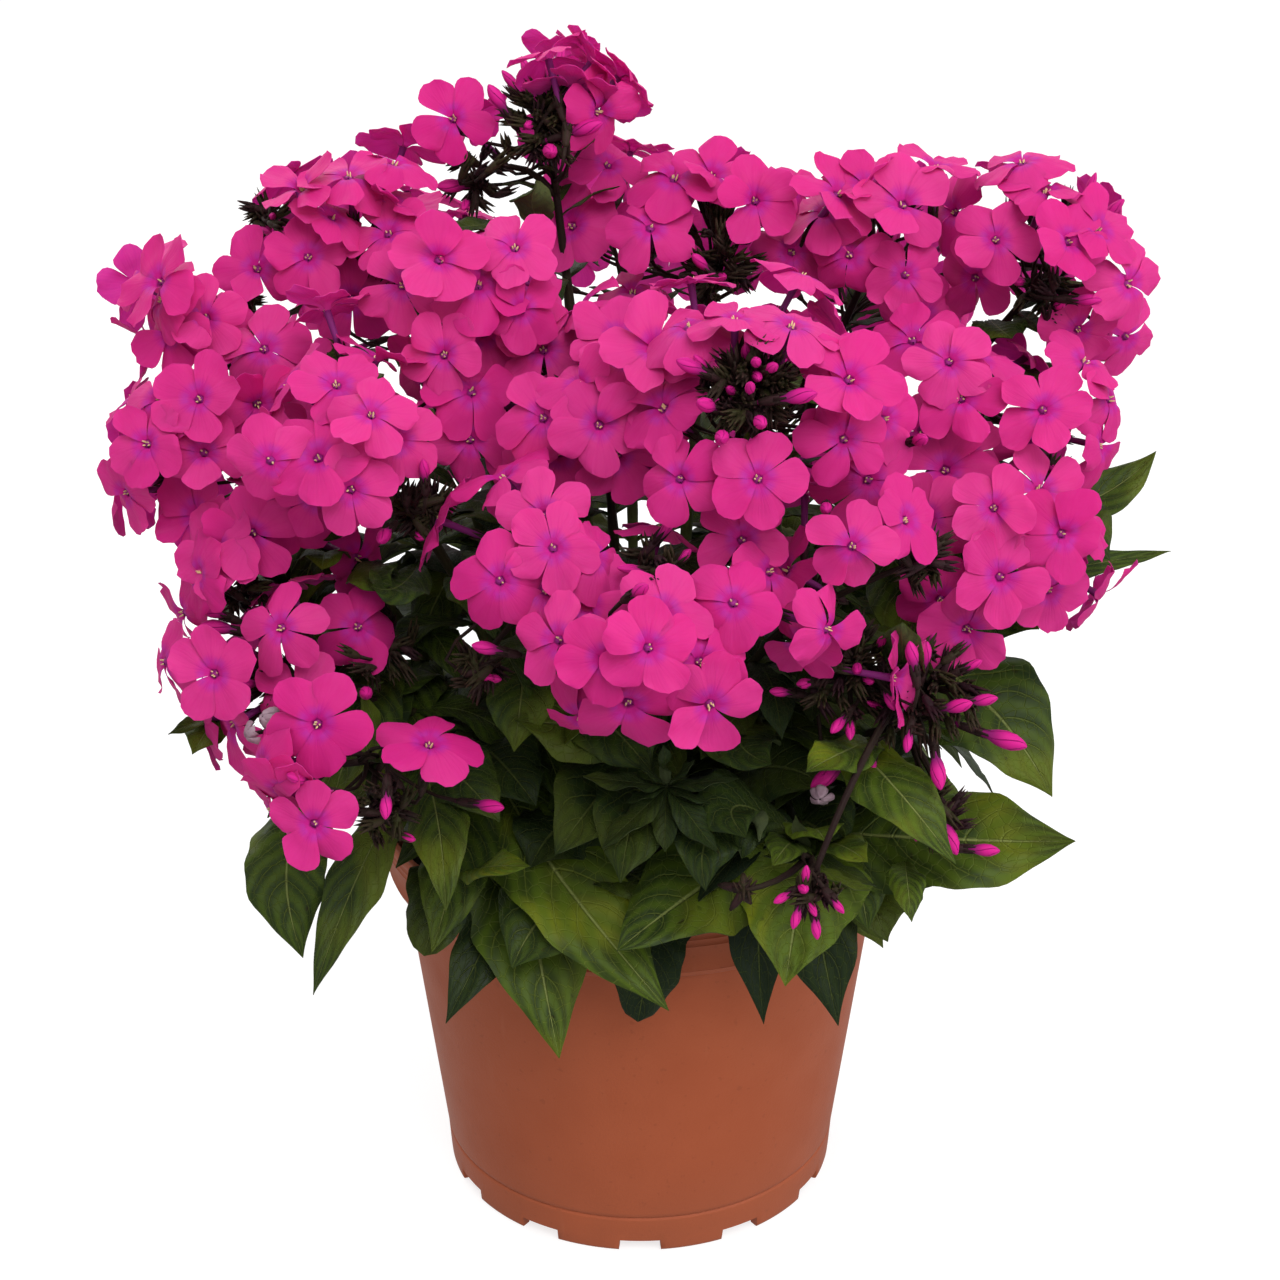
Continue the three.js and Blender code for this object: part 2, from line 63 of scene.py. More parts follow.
METRES = 0.001
POT = dict(height=146, lip_radius=95, lip_drop=3.5, lip_step=1.3, band_drop=22, band_radius=92,
           body_top_radius=87.5, crease_height=15, crease_radius=74, foot_radius=73, wall=1.8,
           floor_height=5.5, floor_thickness=2)
NOTCH = dict(count=12, width=15, height=4.5)
DRAIN = dict(count=4, radius=5, ring=45)
SOIL = dict(top=130, crown=4, gap=0.4, hole_depth=12)
STEM = dict(radius=2.3, side_radius=1.725, upper_radius=1.35, stalk_radii=[1.25, 1.1],
            nodes=(3, 7, 10), swollen=1.22, crown_radius=20, spread=0.26, branch_at=0.3)
STEM_SIDES, STEM_RINGS = 8, 13
STALK_LENGTH = 30
VEINS = dict(count=8.0, sweep=0.62, curl=1.35)
LEAF = dict(thickness=0.35, fold=0.255, curl=0.26, quilt=0.028, ruffle=0.25, twist=0.12, bow=0.03)
SEEN_WIDER = dict(large=1.28, front=1.1)
FLORET = dict(radius=16, throat=0.9, tube=20, thickness=0.14, petals=5)
WITHERED_SIZE, WITHERED_DROOP = 0.27, 7.0
BUD_LENGTH = 27
# Heights and radii of the small round shapes, the calyx's and the bud's heights as a share.
TUBE_PROFILE = [(-20, 1.0), (-14, 1.0), (-6, 1.1), (-2.2, 1.2), (-0.6, 1.3), (-0.1, 0.95), (-1.6, 0.7),
                (-4.0, 0.4)]
CUP_PROFILE = [(0, 0.75), (0.15, 1.25), (0.42, 1.5), (0.66, 1.4)]
BUD_PROFILE = [(0, 0.4), (0.3, 0.45), (0.47, 0.6), (0.58, 0.95), (0.7, 1.12), (0.82, 1.04), (0.92, 0.68),
               (0.98, 0.3), (1, 0.06)]
TOOTH_RADII = [0.8, 0.5, 0.07]
ANTHER_RADII = [0.2, 0.36, 0.16]
PEDICEL_RADII = [0.85, 0.7, 0.6, 0.6, 0.75]
TUFT_STALK_RADII = [1.3, 1.2, 1.1, 1.0, 0.9, 0.9]
TUFT_PEDICEL_RADII = [0.75, 0.6, 0.55, 0.7]
LOW_STALK_RADII = np.linspace(1.35, 0.95, 12)
# How far the petals of a floret droop and how far one is folded, each with how often it is so.
DROOPS = dict(a=[0.2, 1.2, 2.4, 4.4], p=[0.27, 0.33, 0.25, 0.15])
FOLDS = dict(a=[0.0, 0.55, -0.5], p=[0.86, 0.08, 0.06])
# The share of a tuft's calyces that hold a bud, and the Y before which florets are front ones.
TUFT_BUDS, FRONT_PETALS = 0.13, -30
FRONT_TILT = math.radians(22.5)
GOLDEN_ANGLE = 137.508
SPACING = dict(same_head=34, other_head=28, stem=15)
FILLING = dict(tries=36, gap=22, behind=19, steepest=108, lowest=195, ahead=-0.15, stray=2.0,
               depth=(0.86, 1.06), depth_ahead=(0.55, 0.75))
# A head that is bare to more than this angle is a bud spray.
SPRAY = 90
UNDERGROWTH = dict(side_stem=(0.34, 0.62, 0.8), main_stem=(0.2, 0.32, 0.42, 0.62, 0.74, 0.88),
                   length=(42, 60), lowest_tip=152, front=-118, shoulder_front=-104, reach=158)
RIM_LEAVES = dict(azimuths=range(-20, 201, 17), root=58, shoulder=104, tip=(112, 132),
                  tip_height=(128, 158), arch=(38, 56), width=(24, 31))
BRACTS = dict(count=5, below=31, apart=4.5, length=(15, 25))
CRUMBS = 1500
FIRST_DRAW, SEED = 4711, 2024

# Flower heads: the middle of the dome, its radius, the half-angle of the unopened middle, the
# florets tried on the far side, and the florets as the front shows them, right of and above the
# middle, seen from FRONT_TILT above the horizon. The first word is the stem that it branches from.
HEADS = {
    "top": ("", (-31, 20, 386), 32, 50, 3, [(-29, 2), (0, 22), (23, 15), (17, 2)]),
    "upper_left": ("", (-98, 5, 355), 36, 0, 3,
                   [(-22, 13), (-4, 17), (18, 24), (-30, -12), (-8, -6), (20, 2)]),
    "far_left": ("upper_left", (-145, -15, 340), 30, 0, 3, [(-15, 4), (-5, -13)]),
    "left": ("", (-140, -45, 296), 36, 0, 1,
             [(-15, 0), (8, 0), (6, 24), (-14, 20), (-22, -17), (26, 13)]),
    "left_inner": ("", (-92, -75, 309), 38, 0, 1,
                   [(-22, 24), (5, -20), (14, 8), (-8, 12), (-18, -12), (33, -2)]),
    "left_lower": ("left", (-127, -60, 262), 32, 0, 1, [(4, 6), (-14, -6)]),
    "low_left_outer": ("left_inner", (-112, -90, 232), 32, 40, 1,
                       [(-30, -2), (-16, -9), (3, 8), (27, 9)]),
    "low_left": ("left_inner", (-90, -122, 218), 34, 0, 1, [(-3, 13), (31, 2), (-5, -21), (-22, 2)]),
    "middle_left": ("", (-54, -30, 335), 36, 0, 2, [(-10, 26), (17, 17), (-8, -6), (25, -4)]),
    "middle": ("", (-12, -60, 314), 38, 0, 1, [(0, 0), (19, -3), (6, 24), (-18, -14), (-16, 12)]),
    "middle_low": ("middle", (-30, -105, 276), 36, 0, 1, [(-14, -6), (10, 2), (18, -16), (-2, 16)]),
    "front": ("", (33, -90, 323), 42, 36, 2,
              [(-21, -25), (4, -24), (35, -24), (27, 2), (33, -10), (15, 25), (-9, 27), (-31, 14)]),
    "front_low": ("front", (-1, -130, 262), 38, 0, 1,
                  [(3, -2), (28, 10), (22, -20), (-18, -6), (30, 29), (-8, -24), (5, 20)]),
    "upper_middle": ("", (26, 20, 345), 36, 38, 3, [(-28, 2), (-14, 23), (14, 19), (29, -2)]),
    "upper_right": ("", (81, 10, 349), 36, 30, 3, [(-10, 26), (10, 17), (15, -17), (-16, 8)]),
    "right_top": ("", (141, 0, 347), 36, 34, 3, [(-22, 5), (8, 4), (-6, 26), (28, -10), (20, -26)]),
    "right": ("right_top", (110, -40, 308), 38, 0, 1,
              [(-6, 0), (21, -3), (-22, -11), (-14, 17), (33, 8)]),
    "right_low": ("", (114, -70, 268), 36, 0, 1, [(-2, 14), (24, 9), (2, -8), (-15, -20)]),
    "front_right": ("front", (58, -112, 272), 32, 0, 1, [(9, 4), (-2, -19)]),
    "buds_right": ("right_low", (90, -108, 228), 24, 100, 0, []),
    "buds_inner": ("front", (62, -104, 240), 22, 100, 0, []),
    "buds_low": ("right_low", (53, -146, 192), 18, 100, 0, []),
    "back": ("", (-5, 118, 322), 40, 30, 12, []),
    "back_left": ("", (-84, 84, 312), 40, 0, 12, []),
    "back_right": ("", (84, 84, 316), 40, 30, 12, []),
    "back_low_left": ("back_left", (-48, 128, 250), 36, 0, 12, []),
    "back_low_right": ("back_right", (58, 126, 254), 36, 0, 12, []),
}

# The front view's florets, head by head and the nearest first: each throat's place across and
# down a square front view that is 1280 wide, and the way it faces, right and up, from 0 head-on
# to 1 edge-on.
FRONT_FLORETS = {
    "top": [(453, 119, -.1, 0), (548, 58, -.3, 1.05), (592, 62, .6, .85), (620, 76, .75, .75),
            (598, 112, .75, -.2), (572, 84, .1, 1.1)],
    "upper_left": [(257, 269, -.1, .1), (308, 257, .1, .1), (303, 190, -.35, .8), (348, 176, 0, .8),
                   (394, 164, .4, .75), (332, 218, .5, .6), (396, 205, .4, .85), (352, 300, .2, -.45)],
    "far_left": [(160, 282, -.65, .35), (171, 333, -.35, -.1), (206, 318, .1, -.1), (160, 300, -.8, .2)],
    "left": [(264, 349, 0, .1), (212, 327, -.1, .35), (199, 399, -.1, .1), (147, 444, -.35, 0),
             (204, 453, 0, -.05), (126, 493, -.6, -.4), (160, 398, -.45, .3), (257, 404, .2, -.35),
             (308, 378, .35, 0)],
    "left_inner": [(270, 461, 0, -.2), (351, 490, .1, -.2), (371, 415, .1, .35), (444, 355, 0, .1),
                   (472, 392, .2, .3), (470, 440, .05, -.05), (318, 458, -.1, .2), (398, 440, .1, 0)],
    "left_lower": [(252, 533, 0, -.25), (200, 574, -.8, 0), (216, 548, -.5, .2), (358, 558, .85, -.3),
                   (292, 512, .2, .2)],
    "low_left_outer": [(163, 662, -.93, 0), (214, 674, -.2, 0), (281, 628, -.2, .1), (358, 627, .1, .15)],
    "low_left": [(317, 724, 0, 0), (429, 745, .15, .72), (314, 824, 0, -.2), (262, 766, -.9, -.1),
                 (282, 788, -.2, -.85)],
    "middle_left": [(439, 260, 0, .35), (515, 248, 0, .45), (522, 309, 0, .1), (544, 350, 0, .25),
                    (388, 234, -.3, .35), (402, 285, -.2, .1), (478, 285, 0, .5)],
    "middle": [(599, 425, 0, .05), (660, 398, .3, .25), (617, 455, 0, -.15), (543, 418, -.2, .1),
               (625, 360, 0, .45), (531, 482, -.1, -.15), (580, 385, -.1, .3), (560, 452, -.2, -.1)],
    "middle_low": [(500, 581, 0, 0), (553, 548, .1, .15), (594, 556, .5, .2), (588, 604, .1, 0),
                   (545, 590, -.2, 0), (545, 515, -.1, .3)],
    "front": [(680, 479, 0, 0), (758, 479, .05, 0), (868, 480, .15, -.1), (849, 380, .3, .3),
              (844, 439, .15, -.1), (735, 320, 0, .85), (792, 326, .2, .8), (688, 326, -.15, .75),
              (655, 349, -.1, .55), (848, 410, .5, .1), (663, 408, -.5, .4), (830, 345, .35, .6),
              (884, 420, .45, 0)],
    "front_low": [(648, 648, 0, 0), (733, 603, .05, .05), (710, 705, .05, -.35), (604, 659, -.15, -.15),
                  (742, 540, 0, .1), (558, 640, -.4, .1), (700, 662, .2, 0), (628, 703, -.05, -.5),
                  (664, 612, 0, .3), (770, 572, .5, .1)],
    "upper_middle": [(650, 228, 0, .3), (755, 201, 0, .1), (792, 252, .1, 0), (674, 178, 0, .6),
                     (632, 293, 0, .65), (608, 165, .2, .3), (572, 226, -.3, .2), (712, 176, 0, .5),
                     (790, 190, .3, .45)],
    "upper_right": [(903, 205, 0, .2), (838, 194, .5, .5), (905, 275, 0, -.1), (935, 168, .1, .93),
                    (849, 255, -.3, 0), (824, 212, -.3, .5), (866, 186, -.2, .7), (922, 318, .1, -.4)],
    "right_top": [(996, 240, -.05, 0), (1068, 242, .2, 0), (1022, 162, -.25, .85), (1129, 284, .6, 0),
                  (1126, 337, .4, -.4), (975, 278, -.1, -.35), (1078, 330, .2, -.5), (1098, 230, .4, .5),
                  (1046, 192, .2, .8), (955, 212, -.6, .3)],
    "right": [(949, 362, 0, .1), (1043, 410, 0, .05), (961, 399, 0, -.1), (1110, 399, .6, .1),
              (1100, 446, .75, -.2), (922, 430, -.1, -.1), (965, 455, 0, -.1), (912, 340, -.2, .5),
              (1085, 362, .4, .5)],
    "right_low": [(994, 508, 0, .05), (1062, 534, .25, 0), (1000, 577, .05, -.05), (967, 629, 0, -.35),
                  (945, 470, -.3, .3), (928, 520, -.5, 0), (940, 600, -.4, -.3), (1040, 490, .2, .4)],
    "front_right": [(852, 546, 0, .1), (828, 630, .75, -.35), (893, 678, .9, -.2), (905, 520, .5, .3)],
}
# Unopened middles and side sprays: across, down, how wide, and how many calyces stand in each.
DARK_MIDDLES = {
    "top": [(545, 122, 50, 34), (478, 180, 42, 17)],
    "front": [(748, 388, 54, 46)],
    "upper_middle": [(722, 262, 44, 22)],
    "upper_left": [(372, 276, 44, 26), (266, 216, 30, 10)],
    "far_left": [(242, 308, 26, 10)],
    "left_inner": [(425, 505, 40, 24)],
    "left_lower": [(246, 594, 32, 14)],
    "low_left_outer": [(382, 650, 46, 20)],
    "low_left": [(385, 812, 40, 20)],
    "middle_low": [(478, 668, 34, 17)],
    "front_low": [(655, 565, 40, 12)],
    "right_top": [(1045, 292, 34, 14)],
    "right": [(1046, 468, 28, 10)],
    "front_right": [(925, 560, 38, 17)],
    "buds_inner": [(850, 668, 62, 37)],
    "buds_right": [(925, 690, 66, 42), (940, 815, 38, 17)],
    "buds_low": [(812, 896, 28, 9), (745, 890, 15, 4)],
}
# Closed buds in colour: across and down, the way they point right and up, and their length.
SHOWN_BUDS = {
    "buds_right": [(1006, 740, .92, -.3, 19), (938, 772, .1, -.95, 16), (958, 706, .8, .2, 14),
                   (984, 700, .95, .15, 12), (872, 768, -.1, -.95, 11), (826, 777, -.8, -.55, 17),
                   (950, 838, .35, -.9, 16), (917, 828, -.1, -.95, 12), (985, 850, .97, -.05, 13),
                   (925, 655, .1, .9, 13), (908, 742, -.2, -.9, 10)],
    "buds_inner": [(838, 725, -.6, -.6, 11), (780, 692, -.95, .1, 10), (890, 700, .3, -.8, 11)],
    "buds_low": [(796, 918, -.3, -.9, 10), (816, 928, .1, -.95, 10), (838, 906, .6, -.75, 8),
                 (782, 898, -.8, -.4, 9)],
    "top": [(550, 151, .1, -.3, 16), (497, 98, -.5, .7, 15), (586, 128, .9, .2, 17),
            (452, 186, -.9, -.1, 16), (592, 84, .8, .5, 15)],
    "front": [(706, 405, -.5, .1, 14), (722, 437, -.1, -.2, 14), (760, 422, .1, -.3, 13),
              (750, 388, 0, .3, 10), (800, 396, .9, .1, 15), (690, 366, -.8, .3, 14)],
    "left_inner": [(384, 536, -.2, -.4, 14), (424, 470, 0, .8, 11)],
    "left_lower": [(218, 627, -.95, .2, 15), (268, 512, .3, .8, 14), (212, 612, -.8, .3, 12)],
    "low_left_outer": [(366, 693, .1, -.1, 14)],
    "low_left": [(386, 806, 0, -.9, 12), (298, 778, -.6, .3, 13), (490, 806, .9, -.1, 14)],
    "middle_low": [(486, 648, -.9, .2, 13), (484, 676, .9, -.2, 10)],
    "front_right": [(920, 440, .3, 0, 13), (912, 655, -.2, .9, 13), (826, 508, -.1, -.2, 12)],
    "upper_middle": [(700, 262, -.6, .5, 12)],
    "right_top": [(1088, 300, .9, -.1, 13)],
    "front_low": [(640, 590, .5, .3, 12)],
}
# Withered florets that still hang on: across and down, and the way they face.
WITHERED = {
    "low_left": [(262, 716, -.5, .1), (246, 736, -.8, -.3)],
    "buds_inner": [(820, 800, -.2, -.4)],
}

# Where the front view looks past the florets into a head's dark middle or through the plant:
# across, down and how wide, on the same square.
OPEN_PLACES = [(750, 390, 62), (528, 118, 62), (425, 505, 50), (722, 262, 40), (470, 190, 55),
               (565, 517, 30), (450, 590, 45), (655, 560, 45), (372, 276, 46), (242, 308, 30),
               (305, 318, 30), (500, 650, 60), (400, 800, 70), (860, 320, 30), (1040, 300, 40),
               (560, 180, 50), (890, 620, 50), (820, 500, 26), (1090, 300, 26), (240, 620, 40),
               (430, 660, 60), (290, 590, 40)]

# Just outside the plant's outline in the front view, where no floret of the far side sticks out.
CLEAR_PLACES = [(150, 215, 25), (196, 212, 16), (300, 128, 22), (150, 575, 20), (690, 130, 10),
                (820, 148, 10), (895, 145, 12), (1080, 158, 15), (1170, 250, 15), (470, 72, 12),
                (352, 130, 14)]

# Large leaves: the shoulder that the midrib arches over, the tip, the width, and how light the
# green is, from 0 for the deepest to 1 for the young yellow-green.
LARGE_LEAVES = [
    ((-96, -100, 177), (-102, -132, 143), 14, 0.28),
    ((-58, -108, 203), (-59, -138, 176), 15, 0.36),
    ((-50, -90, 178), (-66, -118, 150), 20, 0.36),
    ((-45, -94, 160), (-63, -112, 120), 18, 0.10),
    ((-36, -96, 172), (-26, -120, 112), 33, 0.58),
    ((-30, -98, 178), (9, -130, 136), 28, 0.64),
    ((20, -100, 172), (-7, -134, 160), 29, 0.42),
    ((27, -96, 182), (40, -114, 121), 20, 0.0),
    ((48, -92, 176), (64, -115, 121), 25, 0.08),
    ((51, -104, 183), (45, -135, 148), 33, 0.85),
    ((89, -99, 174), (136, -113, 187), 31, 0.55),
    ((118, -66, 226), (134, -82, 187), 32, 0.36),
    ((86, -82, 194), (112, -88, 174), 20, 0.45),
    ((68, -88, 162), (80, -93, 137), 17, 0.35),
    ((162, -10, 253), (176, -5, 280), 16, 0.40),
    ((146, -24, 248), (180, -22, 250), 8, 0.40),
    ((116, -50, 242), (130, -60, 237), 17, 0.30),
    ((-12, -100, 214), (-38, -112, 228), 26, 0.24),
    ((-30, -92, 220), (-40, -108, 248), 18, 0.22),
    ((24, -100, 214), (40, -118, 216), 20, 0.20),
    ((18, -104, 206), (32, -132, 198), 20, 0.18),
    ((2, -106, 204), (-6, -138, 186), 22, 0.14),
    ((-8, -102, 204), (-26, -128, 190), 24, 0.12),
    ((12, -108, 202), (20, -136, 182), 18, 0.16),
]
# More leaves of the front view: the root, the shoulder and the tip, each as across, down and how
# far it stands behind the pot's axis (in front of it when below 0), then the width and the green,
# and a last word where the tip is round.
FRONT_LEAVES = [
    ((335, 790, -74), (268, 834, -104), (303, 958, -118), 25, 0.40),
    ((650, 900, -80), (652, 900, -108), (638, 1022, -106), 22, 0.02, "blunt"),
    ((640, 900, -70), (560, 870, -104), (512, 968, -116), 37, 0.30),
    ((600, 880, -60), (640, 850, -96), (658, 905, -112), 26, 0.24),
    ((560, 700, -60), (590, 690, -96), (652, 772, -112), 30, 0.20),
    ((518, 650, -70), (520, 660, -106), (514, 752, -112), 22, 0.30),
    ((600, 830, -60), (560, 800, -86), (530, 868, -98), 30, 0.10),
    ((700, 800, -60), (770, 730, -84), (830, 790, -96), 32, 0.12),
    ((760, 830, -60), (800, 800, -92), (846, 858, -104), 30, 0.18),
    ((820, 850, -70), (850, 830, -104), (868, 930, -112), 27, 0.50),
    ((840, 740, -80), (880, 745, -126), (956, 864, -138), 21, 0.60),
    ((800, 850, -90), (806, 830, -128), (772, 866, -142), 14, 0.50),
    ((820, 850, -90), (830, 832, -128), (868, 862, -142), 14, 0.50),
    ((815, 850, -90), (818, 812, -124), (826, 842, -134), 17, 0.85),
    ((880, 740, -80), (850, 740, -126), (806, 772, -138), 16, 0.62),
    ((905, 700, -80), (895, 650, -120), (902, 622, -128), 14, 0.62),
    ((905, 860, -100), (900, 868, -136), (912, 922, -142), 10, 0.66),
    ((900, 860, -70), (860, 880, -100), (888, 942, -106), 22, 0.20),
    ((980, 600, -40), (1020, 560, -70), (1072, 602, -80), 30, 0.34),
    ((1040, 540, -20), (1070, 500, -40), (1110, 560, -50), 24, 0.22),
    ((480, 880, -80), (470, 856, -112), (530, 866, -124), 13, 0.95),
    ((455, 850, -60), (448, 860, -98), (424, 956, -110), 21, 0.14, "blunt"),
    ((430, 770, -60), (450, 740, -104), (500, 822, -112), 22, 0.18),
    ((470, 740, -60), (500, 740, -90), (536, 806, -100), 24, 0.12),
    ((540, 780, -50), (610, 760, -78), (660, 830, -84), 30, 0.08),
    ((380, 560, -50), (360, 575, -84), (392, 585, -92), 15, 0.34),
    ((420, 560, -60), (400, 600, -92), (372, 586, -98), 17, 0.26),
    ((330, 560, -40), (326, 540, -70), (322, 570, -78), 14, 0.44),
    ((545, 230, 20), (530, 205, -2), (536, 180, -6), 13, 0.40),
    ((500, 220, 10), (470, 226, -14), (450, 226, -20), 12, 0.18),
    ((640, 560, -50), (660, 540, -86), (700, 575, -96), 26, 0.12),
    ((860, 350, -10), (880, 345, -34), (908, 362, -42), 22, 0.45),
    ((990, 320, 10), (1000, 326, -16), (1012, 338, -22), 16, 0.30),
    ((1016, 310, 10), (1034, 320, -12), (1050, 334, -18), 10, 0.30),
    ((380, 350, 0), (352, 350, -30), (334, 372, -36), 20, 0.24),
    ((230, 700, -60), (212, 720, -90), (192, 754, -98), 13, 0.42),
    ((242, 700, -60), (210, 722, -92), (168, 734, -96), 6, 0.30),
]
# The bare stalk of the lowest bud spray, in front of the light leaves, as the leaves are given.
LOW_STALK = [(905, 690, -108), (872, 735, -124), (842, 800, -136), (812, 880, -146)]
# The young shoot in the middle of the front: its place and the leaves round it, as the way and
# the length across the front view.
YOUNG_SHOOT = dict(place=(667, 786, -112), scale=3.3, lean=0.93, width=0.4,
                   leaves=[(95, 46), (172, 92), (8, 78), (222, 96), (268, 70), (308, 88), (140, 40),
                           (45, 42), (340, 50), (200, 50)])
PAIRED = dict(along=0.52, spread=(35, 75), length=(50, 64), width=(22, 27), rise=0.25, drop=(0.1, 0.5),
              least_reach=80, front=-60)

CAMERA = dict(place=(0, -739, 514), down=22.48, lens=63.34, sensor=36)

detail = np.random.default_rng(SEED)
draw_state = FIRST_DRAW


def draw(low=0.0, high=1.0):
    """The next of a fixed row of even draws between low and high."""
    global draw_state
    draw_state = draw_state * 16807 % 2147483647
    return low + (high - low) * draw_state / 2147483647


def polar(radius, degrees, z=0.0):
    angle = math.radians(degrees)
    return Vector((radius * math.cos(angle), radius * math.sin(angle), z))


def bend_between(start, shoulder, end, t):
    """A point on the quadratic curve that leaves start towards shoulder and arrives at end."""
    return start * (1 - t) ** 2 + shoulder * (2 * t * (1 - t)) + end * t ** 2


def bend(start, shoulder, end, count):
    """That many points along the same curve."""
    return [bend_between(start, shoulder, end, t) for t in np.linspace(0, 1, count)]


def any_turn():
    return detail.uniform(0, 6.28)


def level(angle):
    """The level way at an angle in radians."""
    return np.array((math.cos(angle), math.sin(angle), 0))


def azimuth_of(point):
    return math.degrees(math.atan2(point.y, point.x))


def leaning(out, amount):
    """A way that strays from another by this much at random."""
    return (out + Vector(detail.normal(size=3)) * amount).normalized()


# ---- The front view -------------------------------------------------------------------------

PITCH = math.radians(CAMERA["down"])
EYE = Vector(CAMERA["place"])
AHEAD = Vector((0, math.cos(PITCH), -math.sin(PITCH)))
VIEW_UP = Vector((0, math.sin(PITCH), math.cos(PITCH)))
VIEW_RIGHT = Vector((1, 0, 0))
VIEW_WIDTH = 1280
VIEW_REACH = CAMERA["lens"] / CAMERA["sensor"] * VIEW_WIDTH
FLORET_REACH = 28


def sight(across, down):
    """The way from the eye through a place on the front view."""
    right, up = across - VIEW_WIDTH / 2, VIEW_WIDTH / 2 - down
    return (AHEAD * VIEW_REACH + VIEW_RIGHT * right + VIEW_UP * up).normalized()


def on_view(point):
    """A point's place across and down the front view."""
    ray = point - EYE
    reach = VIEW_REACH / ray.dot(AHEAD)
    return VIEW_WIDTH / 2 + ray.dot(VIEW_RIGHT) * reach, VIEW_WIDTH / 2 - ray.dot(VIEW_UP) * reach


def on_dome(stem, across, down, share=1.0):
    """Where the line of sight first meets a head's dome, or passes nearest to it."""
    way = sight(across, down)
    along = (stem["hub"] - EYE).dot(way)
    aside = (EYE + way * along - stem["hub"]).length
    radius = stem["dome"] * share
    return EYE + way * (along - math.sqrt(max(radius ** 2 - aside ** 2, 0)))


def at_depth(across, down, behind):
    """The point that the front view shows at a place, this far behind the pot's axis."""
    way = sight(across, down)
    return EYE + way * ((behind - EYE.y) / way.y)


def facing(right, up):
    """The way that leans right and up from facing the front view's eye: by 1 when it is edge-on,
    and by more when it turns its back."""
    lean = math.hypot(right, up)
    toward = math.sqrt(1 - lean ** 2) if lean < 1 else 1 - lean
    return (VIEW_RIGHT * right + VIEW_UP * up - AHEAD * toward).normalized()


def over(point, places):
    """Whether a floret at the point would reach into one of the front view's places."""
    across, down = on_view(point)
    return any(math.hypot(across - x, down - y) < wide + FLORET_REACH for x, y, wide in places)


# ---- Mesh building --------------------------------------------------------------------------

class Pile:
    """Gathers many small shapes into one mesh, with a UV map and the point values that the
    finishes read: tint, a value for each shape, and under, 1 on the lower face of a sheet."""

    def __init__(self):
        self.points, self.faces, self.uvs, self.tints, self.unders = [], [], [], [], []
        self.count = 0

    def add(self, points, faces, uv, tint=0.5, under=None):
        points = np.asarray(points, float).reshape(-1, 3)
        self.points.append(points)
        self.faces.extend(tuple(int(i) + self.count for i in face) for face in faces)
        self.uvs.append(np.asarray(uv, float).reshape(-1, 2))
        self.tints.append(np.broadcast_to(np.asarray(tint, float), len(points)))
        self.unders.append(np.zeros(len(points)) if under is None else np.asarray(under, float))
        self.count += len(points)

    def add_tube(self, path, radii, sides, tint=0.5, at=None, part=(0, 1)):
        """A closed tube along the points, turned to stand on a place and run along a way. Its UV
        runs along the given part, then round."""
        points, faces, uv = tube(path, radii, sides)
        first, last = part
        self.add(turned(points, *at) if at else points, faces, uv * (last - first, 1) + (first, 0), tint)

    def add_spindle(self, profile, sides, at, length=1.0, thick=1.0, tint=0.5, part=(0, 1)):
        """A tube that runs straight along its way, by a profile of heights and radii."""
        path = [(0, 0, height * length) for height, _ in profile]
        self.add_tube(path, [radius * thick for _, radius in profile], sides, tint, at, part)

    def add_sheet(self, top, thickness, uv, tint, at=None):
        points, faces, under = sheet(top, thickness)
        self.add(turned(points, *at) if at else points, faces, np.concatenate([uv, uv]), tint, under)

    def make(self, name, material, slot, nodes, smooth=True, crisp=False):
        mesh = bpy.data.meshes.new(name)
        mesh.from_pydata((np.concatenate(self.points) * METRES).tolist(), [], self.faces)
        corners = np.zeros(len(mesh.loops), int)
        mesh.loops.foreach_get("vertex_index", corners)
        layer = mesh.uv_layers.new(name="UVMap")
        layer.data.foreach_set("uv", np.concatenate(self.uvs)[corners].astype(np.float32).ravel())
        for label, values in (("tint", self.tints), ("under", self.unders)):
            values = np.concatenate(values).astype(np.float32)
            mesh.attributes.new(label, "FLOAT", "POINT").data.foreach_set("value", values)
        mesh.polygons.foreach_set("use_smooth", np.full(len(mesh.polygons), smooth))
        mesh.materials.append(material)
        mesh.update()
        if crisp:
            mesh.set_sharp_from_angle(angle=math.radians(60))
        piece = bpy.data.objects.new(name, mesh)
        bpy.context.scene.collection.objects.link(piece)
        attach(piece, "root")
        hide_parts(*nodes)
        return piece


def unit(vectors):
    return vectors / np.maximum(np.linalg.norm(vectors, axis=-1, keepdims=True), 1e-9)


def grid_uv(rows, columns):
    return np.stack(np.meshgrid(rows, columns, indexing="ij"), -1).reshape(-1, 2)


def grid_faces(rows, columns, offset=0, flip=False, wrap=False):
    """The quads of a grid of points, rows by columns, closed round its columns with wrap. A flipped
    grid splits its quads along the same diagonals, so that a sheet's two faces stay apart."""
    faces = []
    for r in range(rows - 1):
        for c in range(columns if wrap else columns - 1):
            a, b = offset + r * columns + c, offset + r * columns + (c + 1) % columns
            faces.append((a, a + columns, b + columns, b) if flip else (a, b, b + columns, a + columns))
    return faces


